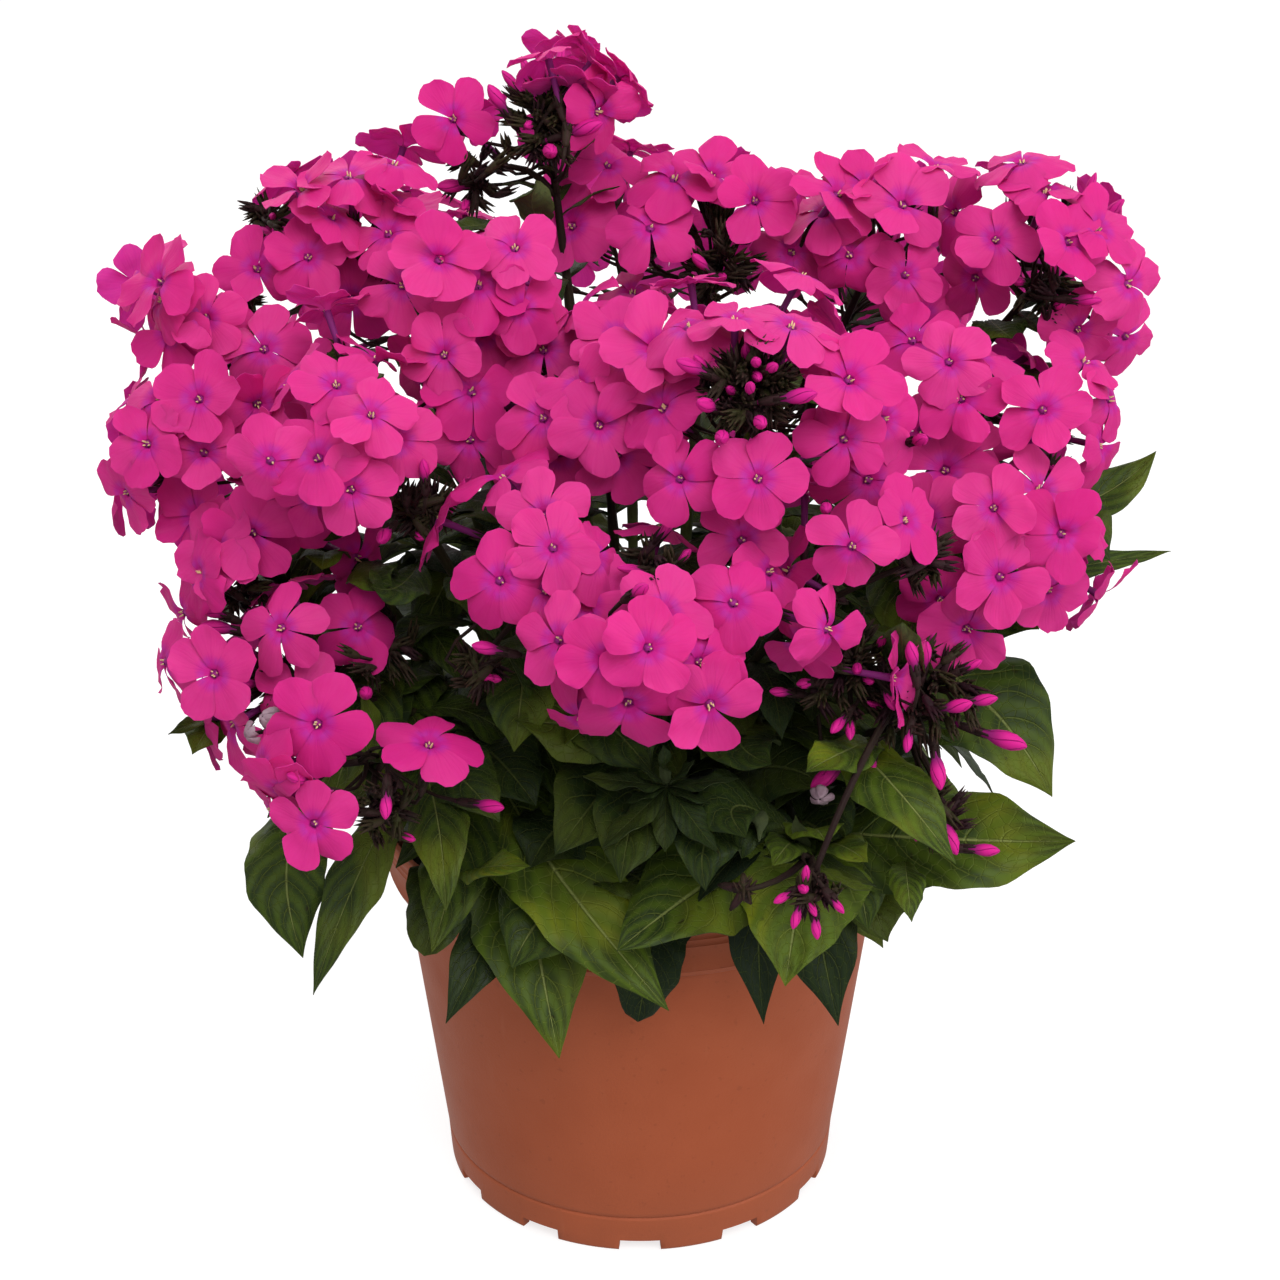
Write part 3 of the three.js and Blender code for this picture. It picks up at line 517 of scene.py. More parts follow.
def sheet(top, thickness):
    """A closed thin blade: the grid of its upper face, and a lower face that meets it at the rim."""
    rows, columns = top.shape[:2]
    normal = unit(np.cross(np.gradient(top, axis=0), np.gradient(top, axis=1)))
    count = rows * columns
    faces = grid_faces(rows, columns, flip=True) + grid_faces(rows, columns, count)
    place = np.arange(count).reshape(rows, columns)
    for edges, flips in ((place[:, [0, -1]], (True, False)), (place[[0, -1]].T, (False, True))):
        for starts, ends in zip(edges[:-1], edges[1:]):
            for a, b, flip in zip(starts, ends, flips):
                side = (a, b, b + count, a + count)
                faces.append(side[::-1] if flip else side)
    points = np.concatenate([top.reshape(-1, 3), (top - normal * thickness).reshape(-1, 3)])
    return points, faces, np.repeat([0.0, 1.0], count)


def tube(path, radii, sides):
    """A closed tube along the points, with a radius at each. Its UV runs along, then round."""
    path = np.asarray(path, float)
    along = unit(np.gradient(path, axis=0))
    reference = np.array((0.0, 1.0, 0.0)) if abs(along[0][1]) < 0.9 else np.array((1.0, 0.0, 0.0))
    across = unit(np.cross(reference, along))
    upward = np.cross(along, across)
    angle = np.linspace(0, 2 * math.pi, sides, endpoint=False)
    ring = across[:, None] * np.cos(angle)[None, :, None] + upward[:, None] * np.sin(angle)[None, :, None]
    points = path[:, None] + ring * np.asarray(radii, float)[:, None, None]
    return capped(points, angle)


def capped(points, angles):
    """The points, faces and UV of rings of points, one above the other, closed at both ends."""
    rows, sides = points.shape[:2]
    faces = grid_faces(rows, sides, wrap=True)
    faces.append(tuple(range(sides))[::-1])
    faces.append(tuple(range((rows - 1) * sides, rows * sides)))
    return points.reshape(-1, 3), faces, grid_uv(np.linspace(0, 1, rows), angles / (2 * math.pi))


def turned(points, origin, out, spin=0.0):
    """Points built along +Z, turned to run along out from origin."""
    turn = Vector((0, 0, 1)).rotation_difference(out).to_matrix() @ Matrix.Rotation(spin, 3, "Z")
    return np.asarray(points) @ np.array(turn).T + np.array(origin)


# ---- Plan of the plant ----------------------------------------------------------------------

def plan_stems():
    """Each head's stem: its curve, its upper end, the way it arrives and its head's row."""
    stems = {}
    for name, (parent, middle, dome, bare, fill, florets) in HEADS.items():
        hub = Vector(middle)
        reach = math.hypot(hub.x, hub.y)
        grow = STEM["spread"] + STEM["crown_radius"] / (reach + 60)
        foot = Vector((hub.x * grow, hub.y * grow, SOIL["top"] - SOIL["hole_depth"]))
        if parent:
            foot = bend_between(*stems[parent]["curve"], STEM["branch_at"])
        shoulder = foot.lerp(hub, 0.45 if parent else 0.1)
        shoulder.z = foot.lerp(hub, 0.55).z
        arrive = (hub - shoulder).normalized()
        end = hub - arrive * STALK_LENGTH
        stems[name] = dict(curve=(foot, shoulder, end), hub=hub, arrive=arrive, end=end, dome=dome,
                           bare=bare, fill=fill, florets=florets, parent=parent)
    return stems


FRONTWARDS = Vector((0, -math.cos(FRONT_TILT), math.sin(FRONT_TILT)))


def seen_point(stem, right, up):
    """The place on a head's dome that the front shows right of and above its middle."""
    toward = math.sqrt(max(stem["dome"] ** 2 - right ** 2 - up ** 2, (0.3 * stem["dome"]) ** 2))
    return stem["hub"] + Vector((
        right,
        up * math.sin(FRONT_TILT) - toward * math.cos(FRONT_TILT),
        up * math.cos(FRONT_TILT) + toward * math.sin(FRONT_TILT),
    ))


def near(point, others, gap):
    return any((other - point).length < gap for other in others)


def dome_directions(stem, count, steepest):
    """Directions by the golden angle, from the dome's top down its sides."""
    turn = Vector((0, 0, 1)).rotation_difference(stem["arrive"])
    for k in range(count):
        slope = steepest * math.sqrt((k + 0.5) / count)
        out = polar(math.sin(math.radians(slope)), k * GOLDEN_ANGLE, math.cos(math.radians(slope)))
        yield slope, turn @ out


def plan_florets(stems):
    """Every floret's face point: those seen from the front, the far side's, then the filling."""
    seen = {name: [seen_point(stem, right, up) for right, up in stem["florets"]]
            for name, stem in stems.items()}
    stem_points = {name: bend(*stem["curve"], 25) for name, stem in stems.items()}
    for name, stem in stems.items():
        others = [point for other, points in seen.items() if other != name for point in points]
        strange = [point for other, points in stem_points.items() if other != name for point in points]
        own = seen[name]
        for slope, out in dome_directions(stem, stem["fill"], 105):
            if slope < stem["bare"] or (stem["florets"] and out.dot(FRONTWARDS) > 0):
                continue
            point = stem["hub"] + out * stem["dome"]
            if near(point, own, SPACING["same_head"]) or near(point, others, SPACING["other_head"]):
                continue
            if not near(point, strange, SPACING["stem"]):
                own.append(point)
    ways = {name: [] for name in stems}
    filled = {}
    for name, stem in stems.items():
        shown = FRONT_FLORETS.get(name, [])
        far = [p for p in seen[name][len(stem["florets"]):] if not over(p, CLEAR_PLACES)]
        filled[name] = [on_dome(stem, across, down, 1.05 - 0.028 * rank)
                        for rank, (across, down, _, _) in enumerate(shown)] + far
        ways[name] = [facing(right, up) for _, _, right, up in shown] + [floret_way(stem, p) for p in far]
    for name, stem in stems.items():
        if stem["bare"] > SPRAY:
            continue
        for slope, out in dome_directions(stem, FILLING["tries"], FILLING["steepest"]):
            ahead = out.dot(FRONTWARDS) > FILLING["ahead"] and bool(stem["florets"])
            gap = FILLING["behind"] if ahead else FILLING["gap"]
            depth = detail.uniform(*FILLING["depth_ahead" if ahead else "depth"])
            point = stem["hub"] + out * stem["dome"] * depth
            point = point + Vector(detail.normal(size=3)) * FILLING["stray"]
            others = [p for points in filled.values() for p in points]
            if slope < stem["bare"] or near(point, others, gap) or point.z < FILLING["lowest"]:
                continue
            if not (over(point, CLEAR_PLACES) or ahead and over(point, OPEN_PLACES)):
                filled[name].append(point)
                ways[name].append(floret_way(stem, point))
    return filled, ways


def floret_way(stem, point):
    """The way a floret faces: out of its dome, swung towards the outside of the whole plant."""
    dome_way = (point - stem["hub"]).normalized()
    plant_way = (point - Vector((0, 10, 215))).normalized()
    return leaning((dome_way * 0.75 + plant_way * 0.42).normalized(), 0.17)


def notch_turn(point, out, points):
    """The turn that points a notch between two petals at the nearest other floret."""
    others = [other for other in points if (other - point).length > 0.01]
    if not others:
        return 0.0
    nearest = min(others, key=lambda other: (other - point).length)
    way = out.rotation_difference(Vector((0, 0, 1))) @ (nearest - point)
    return math.atan2(way.y, way.x) - math.pi / 5


def plan_buds(stems):
    """Unopened buds in the middle of a head, and on the bud sprays, as (stem, way, length)."""
    buds = []
    for stem in stems.values():
        if not stem["bare"]:
            continue
        spray = stem["bare"] > SPRAY
        steepest = 85 if spray else stem["bare"] * 0.7
        for slope, out in dome_directions(stem, 8 if spray else 5, steepest):
            buds.append((stem, out, BUD_LENGTH * draw(0.85, 1.15)))
    return buds


def plan_pairs(stems):
    """The leaf pairs of the outer stems, as (root, shoulder, tip, width)."""
    pairs = []
    for stem in stems.values():
        hub = stem["hub"]
        if hub.y < PAIRED["front"] or math.hypot(hub.x, hub.y) < PAIRED["least_reach"]:
            continue
        root = bend_between(*stem["curve"], PAIRED["along"])
        for side in (-1, 1):
            azimuth = azimuth_of(hub) + side * draw(*PAIRED["spread"])
            length = draw(*PAIRED["length"])
            tip = root + polar(length, azimuth, -length * draw(*PAIRED["drop"]))
            shoulder = root + polar(length * 0.5, azimuth, length * PAIRED["rise"])
            pairs.append((root, shoulder, tip, draw(*PAIRED["width"])))
    return pairs


def nearest_on_stems(point, stems):
    """The nearest place on a stem to grow a leaf from, and rather below the point than above it."""
    places = [place for stem in stems.values() for place in bend(*stem["curve"], 21)[2:]]
    return min(places, key=lambda place: (place - point).length + max(0.0, place.z - point.z))


# ---- Finishes -------------------------------------------------------------------------------

class Value:
    """A number that changes over the surface, worked on with + - * ** and abs()."""

    def __init__(self, tree, socket):
        self.tree, self.socket = tree, socket

    def __add__(self, other):
        return self.tree.math("ADD", self, other)

    def __sub__(self, other):
        return self.tree.math("SUBTRACT", self, other)

    def __rsub__(self, other):
        return self.tree.math("SUBTRACT", other, self)

    def __mul__(self, other):
        return self.tree.math("MULTIPLY", self, other)

    def __pow__(self, other):
        return self.tree.math("POWER", self, other)

    def __abs__(self):
        return self.tree.math("ABSOLUTE", self)


class Tree:
    """A node tree with short calls that add a node, set its sockets and link them."""

    def __init__(self, tree):
        self.tree = tree

    def node(self, kind, inputs=None, **settings):
        made = self.tree.nodes.new(kind)
        for key, value in settings.items():
            setattr(made, key, value)
        for key, value in (inputs or {}).items():
            self.put(made.inputs[key], value)
        return made

    def put(self, socket, value):
        """Links a value or an output into a socket, or sets a plain number, vector or colour."""
        value = getattr(value, "socket", value)
        if isinstance(value, bpy.types.NodeSocket):
            self.tree.links.new(value, socket)
        elif socket.type == "RGBA":
            socket.default_value = (*value, 1)
        else:
            socket.default_value = value

    def math(self, operation, *values, clamp=False):
        made = self.node("ShaderNodeMath", dict(enumerate(values)), operation=operation, use_clamp=clamp)
        return Value(self, made.outputs[0])

    def mix(self, amount, one, other):
        made = self.node("ShaderNodeMix", {0: amount}, data_type="RGBA")
        self.put(made.inputs[6], one)
        self.put(made.inputs[7], other)
        return made.outputs[2]

    def ramp(self, value, low, high):
        """0 below low and 1 above high, with soft ends."""
        made = self.node("ShaderNodeMapRange", {"Value": value, "From Min": low, "From Max": high},
                         interpolation_type="SMOOTHSTEP")
        return Value(self, made.outputs["Result"])

    def noise(self, place, scale, detail_level, rough=0.5):
        made = self.node("ShaderNodeTexNoise", {"Vector": place, "Scale": scale, "Detail": detail_level,
                                                "Roughness": rough})
        return Value(self, made.outputs["Fac"])

    def point_value(self, label):
        return Value(self, self.node("ShaderNodeAttribute", attribute_name=label).outputs["Fac"])

    def parts(self, vector):
        return [Value(self, part) for part in self.node("ShaderNodeSeparateXYZ", {0: vector}).outputs]

    def uv(self):
        """How far along and how far across the shape, from 0 to 1."""
        return self.parts(self.node("ShaderNodeUVMap").outputs[0])[:2]

    def place(self):
        return self.node("ShaderNodeTexCoord").outputs["Object"]

    def bump(self, height, distance, strength):
        made = self.node("ShaderNodeBump", {"Height": height, "Distance": distance, "Strength": strength})
        return made.outputs["Normal"]

    def group(self, group, *values):
        """The output of a node group whose inputs take the values in their order."""
        made = self.node("ShaderNodeGroup", dict(enumerate(values)), node_tree=group)
        return Value(self, made.outputs[0])


def new_group(name, inputs, output, build):
    """A node group with named sockets, whose build call gives the link into its one output."""
    group = bpy.data.node_groups.new(name, "ShaderNodeTree")
    for way, sockets in (("INPUT", inputs), ("OUTPUT", output)):
        for label, kind in sockets.items():
            group.interface.new_socket(label, in_out=way, socket_type="NodeSocket" + kind)
    tree = Tree(group)
    taken = [Value(tree, socket) for socket in tree.node("NodeGroupInput").outputs[:len(inputs)]]
    tree.put(tree.node("NodeGroupOutput").inputs[0], build(tree, *taken))
    return group


def mottle(tree, place, scale):
    """Cloudy and fine mottling between 0 and 1, from any place on the surface."""
    cloud = tree.noise(place, scale, 3.0)
    fine = tree.noise(place, scale * 6.0, 2.0)
    return tree.ramp(cloud * 0.65 + fine * 0.35, 0.32, 0.68)


def grain(tree, place, scale, depth):
    """The surface normal with fine grain pressed into it."""
    return tree.bump(tree.noise(place, scale, 4.0, 0.6) * depth, 0.001, 1.0)


def ribs(tree, along, across, count):
    """Ribs that run along a petal, tube or stalk, between 0 and 1."""
    stretched = tree.node("ShaderNodeCombineXYZ", {0: along * 1.6, 1: across * count})
    return tree.ramp(tree.noise(stretched.outputs[0], 1.0, 1.0), 0.42, 0.62)


MOTTLE = new_group("Mottle", {"Vector": "Vector", "Scale": "Float"}, {"Mask": "Float"}, mottle)
GRAIN = new_group("Grain", {"Vector": "Vector", "Scale": "Float", "Depth": "Float"}, {"Normal": "Vector"},
                  grain)
RIBS = new_group("Ribs", {"Along": "Float", "Across": "Float", "Count": "Float"}, {"Mask": "Float"}, ribs)


def finish(name, build, shine=0.5, **sockets):
    """A material whose build call gives the links into its shader, and whose sockets are plain."""
    material = bpy.data.materials.new(name)
    material.use_nodes = True
    tree = Tree(material.node_tree)
    shader = material.node_tree.nodes["Principled BSDF"]
    for key, value in {"Specular IOR Level": shine, **sockets, **build(tree)}.items():
        tree.put(shader.inputs[key], value)
    return material


def pot_plastic(tree):
    place = tree.place()
    mottled = tree.group(MOTTLE, place, 9.0)
    speck = tree.ramp(tree.noise(place, 420.0, 1.0), 0.68, 0.76)
    streaked = tree.node("ShaderNodeMapping", {"Vector": place, "Scale": (1.0, 1.0, 0.12)}).outputs[0]
    scuff = tree.ramp(tree.noise(streaked, 160.0, 3.0), 0.66, 0.8)
    # The lowest 50 mm of the pot turn darker and greyer in mottled patches.
    darker_at_foot = tree.ramp(tree.parts(place)[2], 0.05, 0.0) * 0.35
    colour = tree.mix(mottled, (0.380, 0.090, 0.037), (0.350, 0.079, 0.031))
    colour = tree.mix(scuff * 0.14, colour, (0.46, 0.17, 0.09))
    colour = tree.mix(speck * 0.18, colour, (0.14, 0.035, 0.016))
    colour = tree.mix(darker_at_foot * mottled, colour, (0.27, 0.085, 0.045))
    return {"Base Color": colour, "Roughness": mottled * 0.12 + 0.42,
            "Normal": tree.group(GRAIN, place, 900.0, 0.12)}


def potting_soil(tree):
    place = tree.place()
    tint = tree.point_value("tint")
    mottled = tree.group(MOTTLE, place, 60.0)
    colour = tree.mix(tint, (0.016, 0.009, 0.006), (0.075, 0.040, 0.022))
    colour = tree.mix(mottled * 0.6, colour, (0.010, 0.007, 0.005))
    return {"Base Color": colour, "Normal": tree.group(GRAIN, place, 700.0, 1.2)}


def leaf_green(tree):
    """Side veins that bow towards the tip, a fine net between them and a pale midrib, on a blade
    that goes from deep green to young yellow-green with its tint."""
    along, across = tree.uv()
    tint, under, place = tree.point_value("tint"), tree.point_value("under"), tree.place()
    side = abs(across - 0.5)
    midrib = tree.ramp(side, 0.024, 0.007)
    bowed = along + tree.noise(place, 45.0, 1.0) * 0.07 - side ** VEINS["curl"] * VEINS["sweep"]
    from_vein = abs(tree.math("FRACT", bowed * VEINS["count"]) - 0.5)
    vein = tree.ramp(from_vein, 0.05, 0.012) * tree.ramp(side, 0.46, 0.32)
    laid = tree.node("ShaderNodeCombineXYZ", {0: along * 26.0, 1: across * 10.0 + tint * 40.0})
    net = tree.node("ShaderNodeTexVoronoi", {"Vector": laid.outputs[0], "Scale": 1.0},
                    feature="DISTANCE_TO_EDGE", voronoi_dimensions="2D")
    fine = tree.ramp(net.outputs["Distance"], 0.07, 0.012)
    mottled = tree.group(MOTTLE, place, 44.0)
    dark = tree.mix(tree.ramp(tint, 0.0, 0.45), (0.009, 0.017, 0.008), (0.030, 0.050, 0.008))
    blade = tree.mix(tree.ramp(tint, 0.45, 1.1), dark, (0.110, 0.155, 0.008))
    blade = tree.mix(mottled * 0.72, blade, (0.011, 0.021, 0.007))
    sunny = tree.ramp(tree.noise(place, 30.0, 1.0), 0.48, 0.64)
    blade = tree.mix(sunny * tint * 0.95, blade, (0.20, 0.23, 0.012))
    speck = tree.ramp(tree.noise(place, 240.0, 1.0), 0.73, 0.78)
    blade = tree.mix(speck * 0.7, blade, (0.016, 0.012, 0.004))
    blade = tree.mix(tree.ramp(from_vein, 0.1, 0.45) * tint, blade, (0.080, 0.125, 0.010))
    pale = tree.mix(tint * 0.4 + 0.18, blade, (0.24, 0.29, 0.05))
    colour = tree.mix(fine * 0.4, blade, pale)
    colour = tree.mix(vein * 0.65, colour, pale)
    light = tree.mix(tree.ramp(tint, 0.0, 0.6), (0.07, 0.09, 0.022), (0.21, 0.24, 0.07))
    colour = tree.mix(midrib * 0.75, colour, light)
    colour = tree.mix(under, colour, tree.mix(0.45, colour, (0.15, 0.18, 0.085)))
    pucker = tree.noise(place, 150.0, 1.0) * 0.8
    height = (vein * -0.42 + fine * -0.2 + pucker + midrib * -0.7) * (1.0 - under * 1.7)
    return {"Base Color": colour, "Roughness": under * 0.2 + mottled * 0.1 + 0.42,
            "Normal": tree.bump(height, 0.0010, 0.85)}


def stem_green(tree):
    along, around = tree.uv()
    tint, place = tree.point_value("tint"), tree.place()
    colour = tree.mix(tree.ramp(tint, 0.35, 0.85), (0.075, 0.095, 0.022), (0.018, 0.008, 0.009))
    colour = tree.mix(tree.group(MOTTLE, place, 70.0) * 0.5, colour, (0.024, 0.014, 0.010))
    colour = tree.mix(tree.group(RIBS, along, around, 9.0) * 0.12, colour, (0.11, 0.10, 0.05))
    return {"Base Color": colour, "Normal": tree.group(GRAIN, place, 1200.0, 0.3)}


def petal_pink(tree):
    """A deep throat, a darker star with a violet bloom round it, and fine ribs out to the edge."""
    along, across = tree.uv()
    tint, under, place = tree.point_value("tint"), tree.point_value("under"), tree.place()
    ribbed = tree.group(RIBS, along, across, 13.0)
    side = abs(across - 0.5)
    blade = tree.mix(tint, (0.575, 0.014, 0.175), (0.650, 0.032, 0.210))
    blade = tree.mix(ribbed * 0.12, blade, (0.55, 0.008, 0.17))
    blade = tree.mix(tree.group(MOTTLE, place, 55.0) * 0.12, blade, (0.72, 0.035, 0.26))
    star = tree.math("ADD", tree.ramp(along, 0.48, 0.12), (ribbed - 0.5) * 0.3, clamp=True)
    colour = tree.mix(star * tree.ramp(along, 0.55, 0.25) * 0.8, blade, (0.46, 0.005, 0.20))
    bloom = tree.ramp(along, 0.10, 0.20) * tree.ramp(along, 0.40, 0.22)
    bloom = bloom * (tree.ramp(side, 0.05, 0.30) * 0.24 + 0.08)
    colour = tree.mix(bloom, colour, (0.36, 0.040, 0.38))
    colour = tree.mix(tree.ramp(along, 0.07, 0.01), colour, (0.16, 0.002, 0.09))
    line = tree.ramp(side, 0.025, 0.006) * tree.ramp(along, 0.6, 0.2)
    colour = tree.mix(line * 0.25, colour, (0.42, 0.004, 0.20))
    back = tree.mix(ribbed * 0.3, (0.62, 0.040, 0.27), (0.52, 0.024, 0.25))
    return {"Base Color": tree.mix(under, colour, back), "Roughness": ribbed * 0.1 + 0.58,
            "Normal": tree.bump(ribbed * 0.2 + line * -0.6, 0.0003, 0.4)}


def petal_withered(tree):
    place = tree.place()
    return {"Base Color": tree.mix(tree.group(MOTTLE, place, 120.0), (0.26, 0.15, 0.20), (0.42, 0.30, 0.35)),
            "Normal": tree.group(GRAIN, place, 700.0, 0.6)}


def tube_purple(tree):
    along, around = tree.uv()
    colour = tree.mix(tree.ramp(along, 0.2, 0.95), (0.16, 0.010, 0.115), (0.36, 0.020, 0.24))
    colour = tree.mix(tree.group(RIBS, along, around, 8.0) * 0.4, colour, (0.22, 0.012, 0.17))
    return {"Base Color": colour, "Normal": tree.group(GRAIN, tree.place(), 900.0, 0.2)}


def anther_cream(tree):
    place = tree.place()
    return {"Base Color": tree.mix(tree.group(MOTTLE, place, 900.0), (0.62, 0.36, 0.16), (0.78, 0.60, 0.34)),
            "Normal": tree.group(GRAIN, place, 4000.0, 0.2)}


def calyx_dark(tree):
    along, around = tree.uv()
    colour = tree.mix(tree.point_value("tint"), (0.018, 0.006, 0.010), (0.036, 0.037, 0.012))
    colour = tree.mix(tree.group(RIBS, along, around, 10.0) * 0.5, colour, (0.046, 0.014, 0.020))
    colour = tree.mix(tree.ramp(along, 0.8, 1.0) * 0.5, colour, (0.075, 0.030, 0.024))
    return {"Base Color": colour, "Normal": tree.group(GRAIN, tree.place(), 1500.0, 0.3)}


def bud_pink(tree):
    """Five petals rolled round each other, dark along their seams and towards the stalk."""
    along, around = tree.uv()
    seam = abs(tree.math("FRACT", around * 5.0 + along * 1.7) - 0.5)
    fold = tree.ramp(seam, 0.5, 0.42)
    colour = tree.mix(tree.ramp(along, 0.25, 0.55), (0.17, 0.010, 0.11), (0.60, 0.012, 0.23))
    colour = tree.mix(tree.point_value("tint") * 0.4, colour, (0.50, 0.010, 0.21))
    colour = tree.mix(1.0 - fold, colour, (0.30, 0.004, 0.13))
    return {"Base Color": colour, "Normal": tree.bump(fold, 0.0006, 0.7)}


POT_PLASTIC = finish("Pot plastic", pot_plastic, shine=0.16)
POTTING_SOIL = finish("Potting soil", potting_soil, Roughness=0.95)
LEAF_GREEN = finish("Leaf green", leaf_green, shine=0.11)
STEM_GREEN = finish("Stem green", stem_green, shine=0.08, Roughness=0.6)
PETAL_PINK = finish("Petal pink", petal_pink, shine=0.12, **{
    "Subsurface Weight": 0.35, "Subsurface Radius": (1.0, 0.22, 0.5), "Subsurface Scale": 0.002})
PETAL_WITHERED = finish("Withered petal", petal_withered, Roughness=0.8)
TUBE_PURPLE = finish("Tube purple", tube_purple, shine=0.2, Roughness=0.6)
ANTHER_CREAM = finish("Anther cream", anther_cream, Roughness=0.7)
CALYX_DARK = finish("Calyx dark", calyx_dark, shine=0.1, Roughness=0.55)
BUD_PINK = finish("Bud pink", bud_pink, shine=0.15, Roughness=0.6)


# ---- Pot and soil ---------------------------------------------------------------------------

def body_radius(z):
    band = POT["height"] - POT["band_drop"]
    t = (z - POT["crease_height"]) / (band - POT["crease_height"])
    return POT["crease_radius"] + (POT["body_top_radius"] - POT["crease_radius"]) * t


def inside_radius(z):
    return min(body_radius(max(z, POT["crease_height"])) - POT["wall"], POT["band_radius"] - POT["wall"])


def lathe(profile, angles, raise_foot=None):
    """Points and faces of a profile of radii and heights turned round the pot's axis."""
    radii, heights = np.array(profile, float).T
    points = np.zeros((len(profile), len(angles), 3))
    points[..., 0] = radii[:, None] * np.cos(angles)
    points[..., 1] = radii[:, None] * np.sin(angles)
    points[..., 2] = heights[:, None]
    if raise_foot is not None:
        low = points[..., 2] < NOTCH["height"]
        points[..., 2] = np.where(low & raise_foot[None, :], NOTCH["height"], points[..., 2])
    return capped(points, angles)


def make_pot():
    band = POT["height"] - POT["band_drop"]
    foot, crease, lip = POT["foot_radius"], POT["crease_height"], POT["height"] - POT["lip_drop"]
    skirt = POT["lip_radius"] - POT["lip_step"]
    inner = skirt - POT["wall"]
    floor = POT["floor_height"]
    profile = [(0.4, floor), (foot - 2.5 * POT["wall"], floor), (foot - 2.35 * POT["wall"], 4.6),
               (foot - 2.2 * POT["wall"], 0.5), (foot - 2.05 * POT["wall"], 0), (foot - 0.7, 0),
               (foot - 0.2, 0.4), (foot, 1.2), (foot + 0.3, 4.6)]
    profile += [(foot + 0.3 + 0.6 * t, 4.6 + (crease - 6.2) * t) for t in (0.5, 1)]
    profile += [(POT["crease_radius"] - 0.15, crease - 1.0), (POT["crease_radius"] - 0.75, crease - 0.4),
                (POT["crease_radius"] + 0.05, crease + 0.5)]
    profile += [(body_radius(z), z) for z in np.linspace(crease + 2, band - 1.4, 14)]
    profile += [(POT["body_top_radius"] + 0.1, band - 0.5), (POT["body_top_radius"] + 1.2, band - 0.1),
                (POT["band_radius"] - 0.9, band + 0.3), (POT["band_radius"] - 0.1, band + 1.0)]
    ring = POT["band_radius"]
    for z in (band + 2.6, band + 12.5, band + 15.2):
        t = (z - band) / (lip - band)
        radius = ring + (skirt - ring) * t
        profile += [(radius, z - 0.5), (radius + 0.28, z), (radius, z + 0.5)]
    profile += [(skirt, lip - 0.4), (skirt + 0.5, lip), (POT["lip_radius"] - 0.15, lip + 0.4),
                (POT["lip_radius"], lip + 1.1), (POT["lip_radius"], POT["height"] - 0.9),
                (POT["lip_radius"] - 0.3, POT["height"] - 0.25), (POT["lip_radius"] - 0.9, POT["height"]),
                (inner + 0.7, POT["height"]), (inner + 0.1, POT["height"] - 0.4),
                (inner - 0.3, POT["height"] - 1.4), (inside_radius(band) + 0.4, band + 1.2),
                (inside_radius(band), band - 0.6)]
    top = floor + POT["floor_thickness"]
    profile += [(inside_radius(z), z) for z in np.linspace(band - 12, top + 1.5, 6)]
    profile += [(inside_radius(top) - 1.5, top), (0.4, top)]
    half = math.asin(NOTCH["width"] / 2 / foot)
    pitch = 2 * math.pi / NOTCH["count"]
    step = math.radians(0.12)
    offsets = [-half - step, -half + step, half - step, half + step]
    steady = [half + (pitch - 2 * half) * t for t in np.linspace(0.1, 0.9, 9)]
    offsets += [-half * 0.5, 0, half * 0.5] + steady
    angles = np.sort([(k * pitch - math.pi / 2 + offset) % (2 * math.pi)
                      for k in range(NOTCH["count"]) for offset in offsets])
    from_notch = (angles + math.pi / 2 + pitch / 2) % pitch - pitch / 2
    points, faces, uv = lathe(profile, angles, np.abs(from_notch) < half)
    pile = Pile()
    pile.add(points, faces, uv)
    pot = pile.make("nursery_pot", POT_PLASTIC, "pot_plastic", ["pot"])
    pot.data.shade_smooth()
    pot.data.set_sharp_from_angle(angle=math.radians(50))
    drill_floor(pot)


def drill_floor(pot):
    """Cuts the round drain holes through the pot's floor."""
    cutter_mesh = bpy.data.meshes.new("drain")
    points, faces = [], []
    angles = np.linspace(0, 2 * math.pi, 24, endpoint=False)
    for k in range(DRAIN["count"]):
        middle = polar(DRAIN["ring"], 360 * k / DRAIN["count"])
        first = len(points)
        for z in (POT["floor_height"] - 2, POT["floor_height"] + POT["floor_thickness"] + 0.25):
            points += [((middle.x + DRAIN["radius"] * math.cos(a)) * METRES,
                        (middle.y + DRAIN["radius"] * math.sin(a)) * METRES, z * METRES) for a in angles]
        faces += grid_faces(2, 24, first, wrap=True)
        faces += [tuple(range(first, first + 24))[::-1], tuple(range(first + 24, first + 48))]
    cutter_mesh.from_pydata(points, [], faces)
    cutter = bpy.data.objects.new("drain", cutter_mesh)
    bpy.context.scene.collection.objects.link(cutter)
    cut = pot.modifiers.new("Drain holes", "BOOLEAN")
    cut.object = cutter
    cut.operation = "DIFFERENCE"
    cut.solver = "EXACT"
    graph = bpy.context.evaluated_depsgraph_get()
    drilled = bpy.data.meshes.new_from_object(pot.evaluated_get(graph))
    pot.modifiers.clear()
    pot.data = drilled
    bpy.data.objects.remove(cutter)


def soil_height(x, y):
    """How high the bumpy soil stands, in millimetres, at a place on its top."""
    radius = np.hypot(x, y) / inside_radius(POT["height"] - POT["band_drop"])
    crown = SOIL["top"] - SOIL["crown"] * radius ** 2
    waves = (np.sin(x * 0.21 + 1.3) * np.cos(y * 0.17 - 0.4) + 0.6 * np.sin(x * 0.43 - y * 0.37)
             + 0.5 * np.cos(x * 0.61 + y * 0.29 + 2.0))
    return crown - 0.9 + 0.75 * waves * (1 - radius ** 6)


